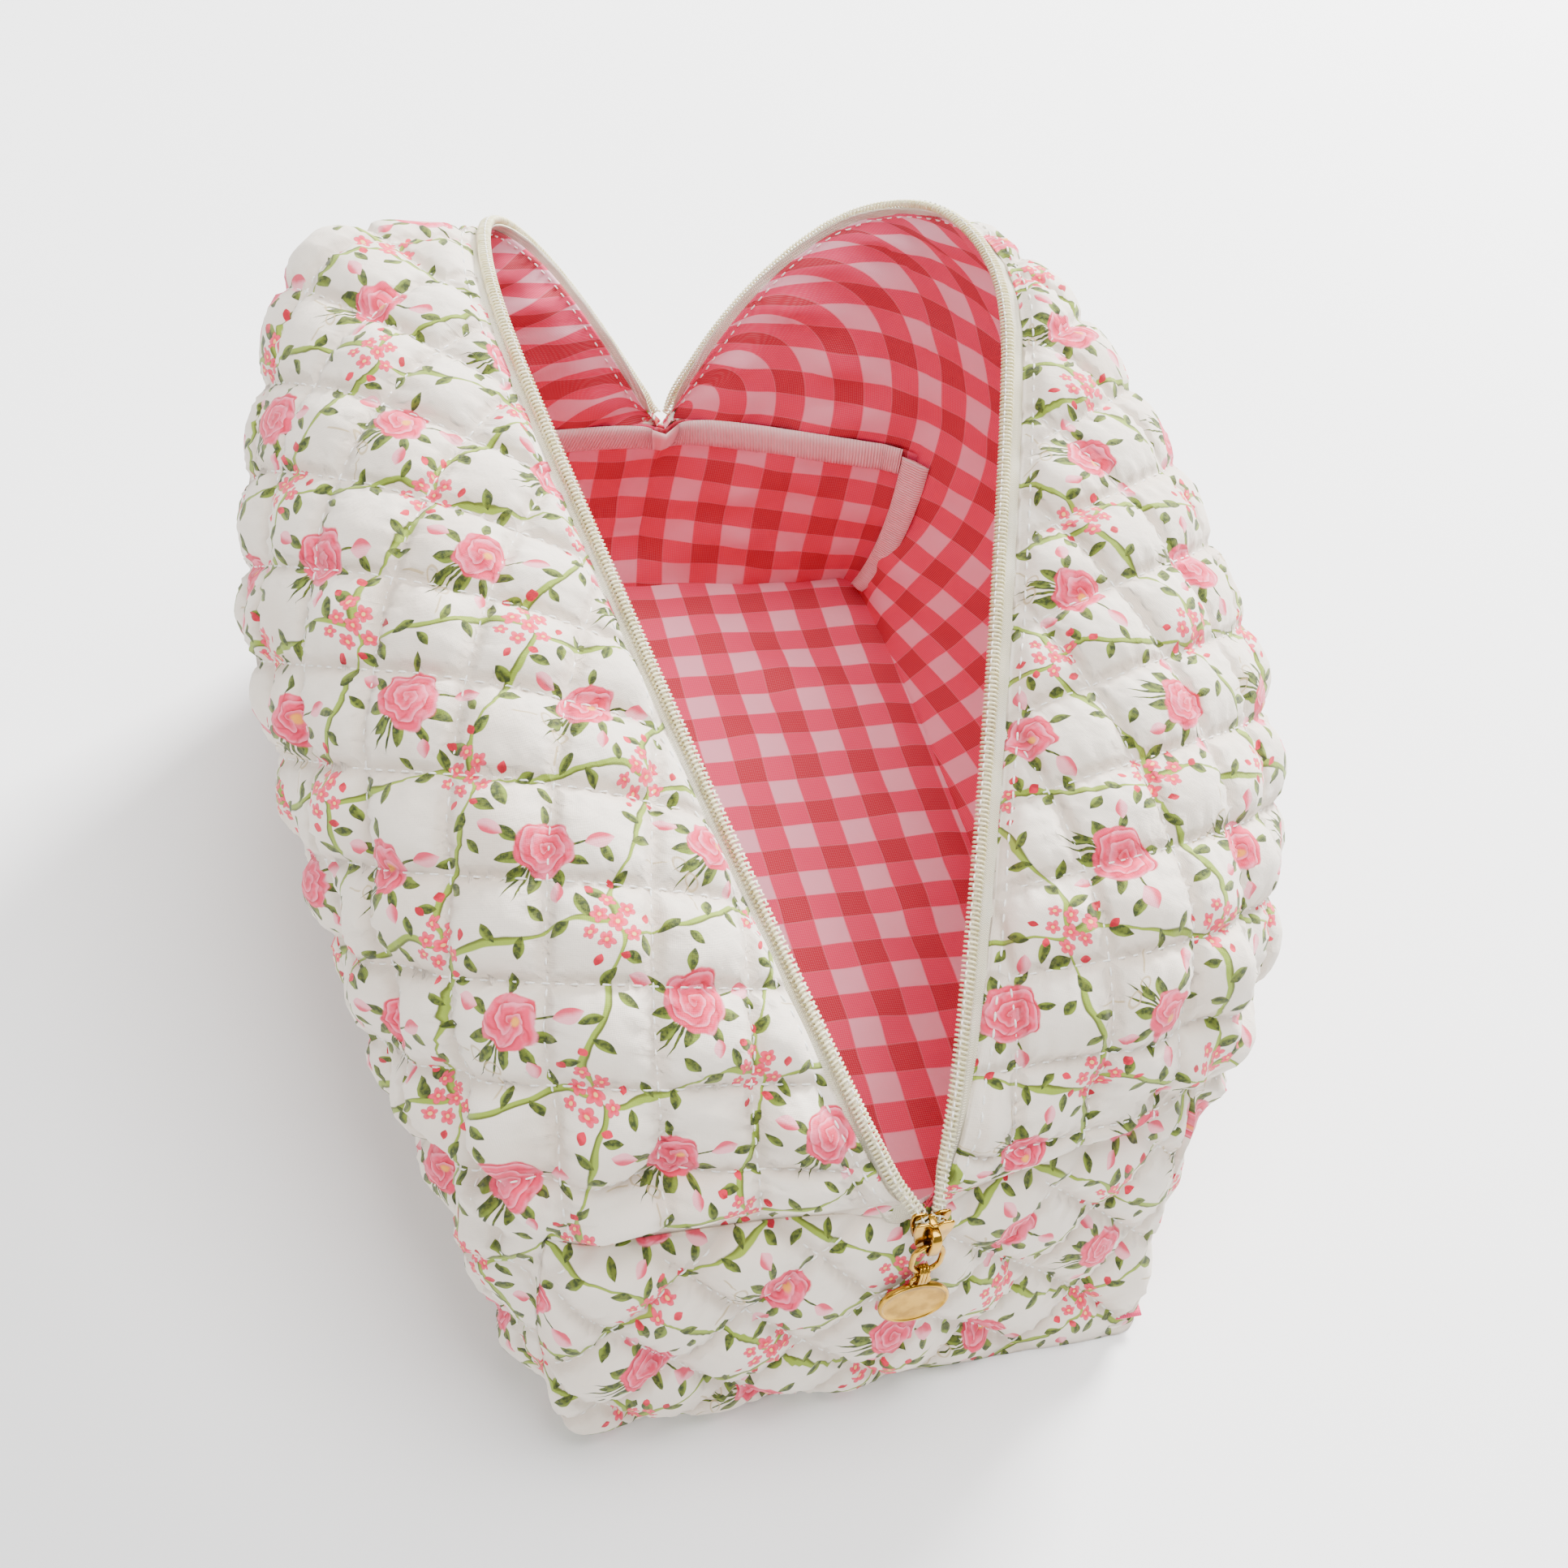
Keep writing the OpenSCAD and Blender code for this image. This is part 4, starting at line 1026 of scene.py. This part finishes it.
def build_coil(sd):
    t, p, nn = coil_path(sd, 1200)
    run = length_along(p)
    pitch, steps = 1.32, 12
    s = np.linspace(0.6, run[-1] - 0.6, int(run[-1] / pitch) * steps)
    c, nn = resample(s, run, p), resample(s, run, nn)
    tan = unit(np.gradient(c, axis=0))
    nn = unit(nn - tan * (nn * tan).sum(1, keepdims=True))
    out = np.cross(tan, nn) * sd
    ph = TAU * s / pitch
    sq = lambda a: (np.sign(a) * np.abs(a) ** 0.72)[:, None]
    name = side_name(sd) + "_coil"
    coil = make(name, *tube_data(c + nn * sq(np.sin(ph)) + out * 1.75 * sq(np.cos(ph)), 0.36, 5, nn), COIL)
    # the cord inside the coil, and the chain of stitches that holds it down
    cord = make(name + "_cord", *tube_data(c[::6], 0.62, 6, nn[::6]), TAPE)
    short = np.interp(s, run, t) < 0.97  # the last stitches would meet the slider when it stands at the far end
    off = (c - out * 0.25 + nn * 1.28)[short]
    chain = make(name + "_thread", *dash_mesh(cut_dashes(off[::3], nn[short][::3], 2.0, 0.65), 0.26), THREAD)
    return [coil, cord, chain], (t, p)


def build_tape(sd, coil):
    """From under the hem (a) to the coil (b), and a little past it towards the middle."""
    n, m = 520, 10
    t = np.linspace(0, 1, n)
    u = sd * np.clip(t, 0.004, 0.996)
    taper = smooth01(np.minimum(t, 1 - t) / 0.03)
    a, na = skin(u, v_from_edge(u, 9.6 * taper + 0.6)[:, None])
    a, na = a[:, 0] - na[:, 0] * 1.6, na[:, 0]
    _, nb = skin(u, v_from_edge(u, 0.3 + 0 * t)[:, None])
    k = (1 - smooth01(t / MOUTH))[:, None]
    nb = unit(nb[:, 0] * (1 - k) + np.array([0, -1.0, 0]) * k)
    b = resample(t, *coil) - nb * 1.75
    w = np.linspace(0, 1, m)[None, :, None]
    beyond = b + (b - a) / np.maximum(np.linalg.norm(b - a, axis=1, keepdims=True), 1e-6) * (1.2 * taper)[:, None]
    P = np.concatenate([a[:, None] * (1 - w) + b[:, None] * w, beyond[:, None]], 1)
    w = np.concatenate([w, np.ones((1, 1, 1))], 1)
    N = unit(na[:, None] * (1 - w) + nb[:, None] * w)
    run = length_along(b)[:, None]
    ripples = 0.22 * np.sin(run * TAU / 17 + sd) * np.sin(math.pi * np.linspace(0, 1, m + 1))
    P = P + N * ripples[..., None] * taper[:, None, None]
    wid = length_along(P, 1)
    return side_shell(
        sd, side_name(sd) + "_tape", P + N * 0.25, P - N * 0.3, np.ones((n - 1, m), bool), TAPE,
        np.stack([run + 0 * wid, wid], -1),
    )


# ------------------------------------------------------------------ slider and pull
def bevelled(name, outline, y0, y1, bev):
    """A flat piece in the X-Z plane from y0 to y1, with rounded edges."""
    bm = bmesh.new()
    front = bm.faces.new([bm.verts.new((x / 1000, y0 / 1000, z / 1000)) for x, z in outline])
    geom = bmesh.ops.extrude_face_region(bm, geom=[front])["geom"]
    moved = [g for g in geom if isinstance(g, bmesh.types.BMVert)]
    bmesh.ops.translate(bm, verts=moved, vec=(0, (y1 - y0) / 1000, 0))
    bmesh.ops.recalc_face_normals(bm, faces=bm.faces)
    me = bpy.data.meshes.new(name)
    bm.to_mesh(me)
    bm.free()
    me.materials.append(GOLD)
    ob = place(name, me)
    b = ob.modifiers.new("edges", "BEVEL")
    b.width = bev / 1000
    b.segments = 3
    b.limit_method = "ANGLE"
    b.angle_limit = math.radians(25)
    return ob


def join(name, obs):
    """One object from several, with their modifiers applied."""
    bpy.context.view_layer.update()
    V, F, MI, mats = [], [], [], []
    for o in obs:
        me = o.evaluated_get(bpy.context.evaluated_depsgraph_get()).to_mesh()
        co = np.zeros(len(me.vertices) * 3)
        me.vertices.foreach_get("co", co)
        F += [[v + sum(map(len, V)) for v in p.vertices] for p in me.polygons]
        V.append(co.reshape(-1, 3) * 1000)
        for p in me.polygons:
            mat = o.data.materials[p.material_index]
            if mat not in mats:
                mats.append(mat)
            MI.append(mats.index(mat))
    for o in obs:
        bpy.data.objects.remove(o)
    return make(name, np.concatenate(V), F, mats, mat_index=MI)


def square_section(k, power):
    """Cosines and sines of k points around a section; the lower the power, the squarer it is."""
    ang = (np.arange(k) * TAU / k)[:, None]
    return [np.sign(a) * np.abs(a) ** power for a in (np.cos(ang), np.sin(ang))]


def round_outline(pts, r, seg=5):
    """A polygon with its corners rounded."""
    out = []
    n = len(pts)
    for i in range(n):
        a, b, c = (np.array(pts[(i + k) % n], float) for k in (-1, 0, 1))
        d1, d2 = (a - b), (c - b)
        l1, l2 = np.linalg.norm(d1), np.linalg.norm(d2)
        q = min(r, l1 * 0.45, l2 * 0.45)
        s, e = b + d1 / l1 * q, b + d2 / l2 * q
        for k in range(seg + 1):
            w = k / seg
            out.append(tuple((1 - w) ** 2 * s + 2 * w * (1 - w) * b + w * w * e))
    return out


def build_slider():
    edge = [(2.7, 82.0), (3.9, 84.0), (4.5, 87), (5.4, 90), (5.4, 94), (1.7, 94), (0.9, 92.6)]
    plate = round_outline([(-2.7, 82.0)] + edge + [(-x, z) for x, z in edge[:0:-1]], 1.4)
    post = [(-0.8, 90.4), (0.8, 90.4), (0.9, 92.7), (-0.9, 92.7)]
    flange = [(2.75, 82.5), (3.8, 84.2), (4.4, 87.0), (4.95, 89.0), (4.2, 89.0), (3.2, 86.0)]
    parts = [
        bevelled("back_plate", plate, -164.0, -164.9, 0.28),
        bevelled("front_plate", plate, -167.2, -168.1, 0.34),
        bevelled("post", post, -164.8, -167.3, 0.1),
    ]
    for line in ([(-x, z) for x, z in flange[::-1]], flange):
        parts.append(bevelled("flange", line, -164.7, -165.45, 0.12))
        parts.append(bevelled("flange", line, -166.35, -167.3, 0.12))
    body = join("slider", parts)
    # a strap that arches over the ring, wider in the middle: a cubic B-spline with its ends repeated
    n, k = 48, 20
    s = np.linspace(0, 1, n)
    cp = np.array(
        [(167.6, 83.1)] * 3
        + [(169.9, 82.9), (171.35, 83.9), (171.5, 86.2), (171.5, 88.6), (171.2, 90.6), (169.9, 91.5)]
        + [(167.6, 91.2)] * 3
    )
    P = []
    for q in np.minimum(s * (len(cp) - 3), len(cp) - 3 - 1e-6):
        i, f = int(q), q - int(q)
        B = np.array([(1 - f) ** 3, 3 * f ** 3 - 6 * f * f + 4, -3 * f ** 3 + 3 * f * f + 3 * f + 1, f ** 3]) / 6
        P.append(B @ cp[i:i + 4])
    P = np.array(P)
    path = np.stack([0 * s, -P[:, 0], P[:, 1]], 1)
    xdir = np.array([[1.0, 0, 0]])
    nd = np.cross(unit(np.gradient(path, axis=0)), xdir)
    wide, thick = (1.1 + 0.35 * np.sin(math.pi * s) ** 2)[:, None, None], 0.5
    cs, sn = square_section(k, 0.45)
    V = path[:, None] + wide * cs * xdir + thick * sn * nd[:, None]
    return body, make("slider_arch", V.reshape(-1, 3), ring_faces(n, k), GOLD)


LEAN = math.radians(5)
AX_Y, AX_Z = -169.3, 84.9


def hang(P):
    """From the pull's own plane, hanging straight down from the ring's wire, to its place on the bag."""
    P = np.asarray(P, float)
    c, s = math.cos(LEAN), math.sin(LEAN)
    x, y, z = P[..., 0], P[..., 1], P[..., 2]
    return np.stack([x, y * c + z * s + AX_Y, -y * s + z * c + AX_Z], -1)


def closed_tube(name, path, radius, k, aspect, square, normal=(0, 1, 0)):
    """A closed loop with an oval or squarish section; its flat side faces `normal`."""
    n = len(path)
    nn = np.tile(np.array(normal, float), (n, 1))
    out = unit(np.cross(unit(np.roll(path, -1, 0) - np.roll(path, 1, 0)), nn))
    cs, sn = square_section(k, square)
    V = path[:, None] + radius * (cs * out[:, None] + aspect * sn * nn[:, None])
    return make(name, hang(V.reshape(-1, 3)), ring_faces(n, k, True), GOLD)


def build_pull():
    # ring
    a = np.linspace(0, math.pi, 40, endpoint=False)
    top = np.stack([4 * np.cos(a), 0 * a, -4 + 4 * np.sin(a)], 1)
    bot = np.stack([-4 * np.cos(a), 0 * a, -7 - 4 * np.sin(a)], 1)
    ring = closed_tube("pull_ring_metal", np.concatenate([top, bot]), 0.8, 16, 0.92, 0.8)
    # folded link: three bands side by side
    links = []
    for x0, wd in ((-0.95, 0.38), (0.0, 0.52), (0.95, 0.38)):
        b = np.linspace(0, math.pi, 24, endpoint=False)
        up = np.stack([0 * b + x0, 1.55 * np.cos(b), -11 + 1.55 * np.sin(b)], 1)
        dn = np.stack([0 * b + x0, -1.55 * np.cos(b), -14.4 - 1.55 * np.sin(b)], 1)
        links.append(closed_tube("band", np.concatenate([up, dn]), 0.24, 12, wd / 0.24, 0.6, (1, 0, 0)))
    link = join("pull_link_metal", links)
    # bail
    c = np.linspace(0, math.pi / 2, 12)
    q = [(-2.4, 0, -18.4), (-2.4, 0, -15.6)]
    q += [(-1.2 - 1.2 * math.cos(w), 0, -15.6 + 1.2 * math.sin(w)) for w in c[1:]]
    q += [(1.2 + 1.2 * math.sin(w), 0, -15.6 + 1.2 * math.cos(w)) for w in c]
    q += [(2.4, 0, -18.4)]
    v, f = tube_data(np.array(q), 0.6, 12, np.tile([0, 1.0, 0], (len(q), 1)))
    bail = make("bail", hang(v), f, GOLD)
    # disc: satin face inside a bright raised rim, both sides
    rx, rz, k, face_r = 10.0, 8.75, 96, 0.866
    cz = -17.0 - rz
    rim = [(1.0, 0.0), (0.997, 0.35), (0.985, 0.62), (0.96, 0.82), (0.93, 0.9), (0.895, 0.84), (0.875, 0.66)]
    prof = rim + [(r, 0.6) for r in (0.865, 0.7, 0.45, 0.2, 0.02)]
    rows = [(r, -y) for r, y in prof[::-1]] + prof[1:]
    an = np.arange(k) * TAU / k
    V = np.array([np.stack([rx * r * np.cos(an), 0 * an + y, cz + rz * r * np.sin(an)], 1) for r, y in rows])
    satin = [int(max(a[0], b[0]) < face_r) for a, b in zip(rows, rows[1:])]
    mi = list(np.repeat(satin, k)) + [1, 1]
    disc = make("disc", hang(V.reshape(-1, 3)), ring_faces(len(rows), k), [GOLD, SATIN], mat_index=mi)
    return ring, link, join("oval_charm", [bail, disc])


# ------------------------------------------------------------------ assembly
for sd in (-1, 1):
    nm = side_name(sd)
    cloth = build_side(sd)
    threads = side_stitches(sd)
    lining, lthread = build_side_lining(sd)
    coils, cp = build_coil(sd)
    tape = build_tape(sd, cp)
    for o in [cloth, *threads, lining, lthread, *coils, tape]:
        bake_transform(o)
    walls = [nm + part for part in ("_wall_outer", "_wall_wadding", "_flap_outer", "_flap_wadding", "_shoulder")]
    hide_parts(*walls)
    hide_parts(nm + "_wall_lining", nm + "_flap_lining", nm + "_shoulder_lining")
    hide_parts(nm + "_zip_coil")
    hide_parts(nm + "_zip_tape")
    round(flat_area(lining), 4)

rigid = []
for far in (False, True):
    nm = "far_end" if far else "near_end"
    cloth, th = build_end(far)
    lin = build_end_lining(far)
    tp = build_end_binding(far)
    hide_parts(nm + "_outer", nm + "_wadding")
    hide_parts(nm + "_lining")
    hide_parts(nm + "_binding")
    rigid += [cloth, th, lin, tp]
base = build_base()
bl = build_base_lining()
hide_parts("base_outer", "base_wadding")
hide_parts("base_lining")
rigid += [base, bl]
for nm, u0 in (("near_left", -TC), ("near_right", TC), ("far_left", 1 + TC), ("far_right", 1 - TC)):
    o = build_corner_binding(nm + "_corner_tape", u0)
    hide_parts(nm + "_binding")
    rigid.append(o)
for o in rigid:
    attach(o, "root")

body, arch = build_slider()
ring, link, charm = build_pull()
for o, b, node in (
    (body, "slider", "slider_body"), (arch, "slider", "slider_bridge"), (ring, "ring", "pull_ring"),
    (link, "link", "pull_link"), (charm, "pendant", "charm"),
):
    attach(o, b)
    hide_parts(node)

# ------------------------------------------------------------------ floor, light and camera
floor = Mat("floor_paper", color=(0.93, 0.93, 0.93), rough=0.9)
floor.color(floor.mix((0.93, 0.93, 0.93), (0.9, 0.9, 0.9), floor.noise(floor.object_co(), 3.0, 2.0)))
R = 6000.0
make("floor", [(-R, -R, 0), (R, -R, 0), (R, R, 0), (-R, R, 0)], [[0, 1, 2, 3]], floor.m)

world = bpy.data.worlds.new("soft_room")
bpy.context.scene.world = world
world.use_nodes = True
world.node_tree.nodes["Background"].inputs["Color"].default_value = (1.0, 1.0, 1.0, 1)
world.node_tree.nodes["Background"].inputs["Strength"].default_value = 0.6


def area(name, loc, target, size, power):
    li = bpy.data.lights.new(name, "AREA")
    li.size = size
    li.energy = power
    ob = bpy.data.objects.new(name, li)
    ob.location = loc
    ob.rotation_euler = (Vector(target) - Vector(loc)).to_track_quat("-Z", "Y").to_euler()
    bpy.context.scene.collection.objects.link(ob)


area("key", (1.6, 1.5, 1.5), (0, 0, 0.05), 0.7, 265)
area("fill", (-1.4, -1.2, 1.7), (0, 0, 0.1), 1.4, 22)
area("overhead", (0.3, 0.1, 2.4), (0, 0, 0), 1.6, 90)

yaw, el, roll, dist, focal = math.radians(-24.4), math.radians(47.6), math.radians(13.4), 0.649, 2600.0
back = Vector((math.sin(yaw) * math.cos(el), -math.cos(yaw) * math.cos(el), math.sin(el)))
target = Vector((0.0031, -0.0063, 0.080))
right = (-back).cross(Vector((0, 0, 1))).normalized()
up = right.cross(-back).normalized()
r2 = right * math.cos(roll) + up * math.sin(roll)
u2 = -right * math.sin(roll) + up * math.cos(roll)
cam_data = bpy.data.cameras.new("camera")
cam_data.sensor_width = 36
cam_data.lens = focal / 1932 * 36
cam_data.clip_start = 0.01
cam = bpy.data.objects.new("camera", cam_data)
cam.matrix_world = Matrix.Translation(target + back * dist) @ Matrix((r2, u2, back)).transposed().to_4x4()
bpy.context.scene.collection.objects.link(cam)
bpy.context.scene.camera = cam

bpy.context.view_layer.update()
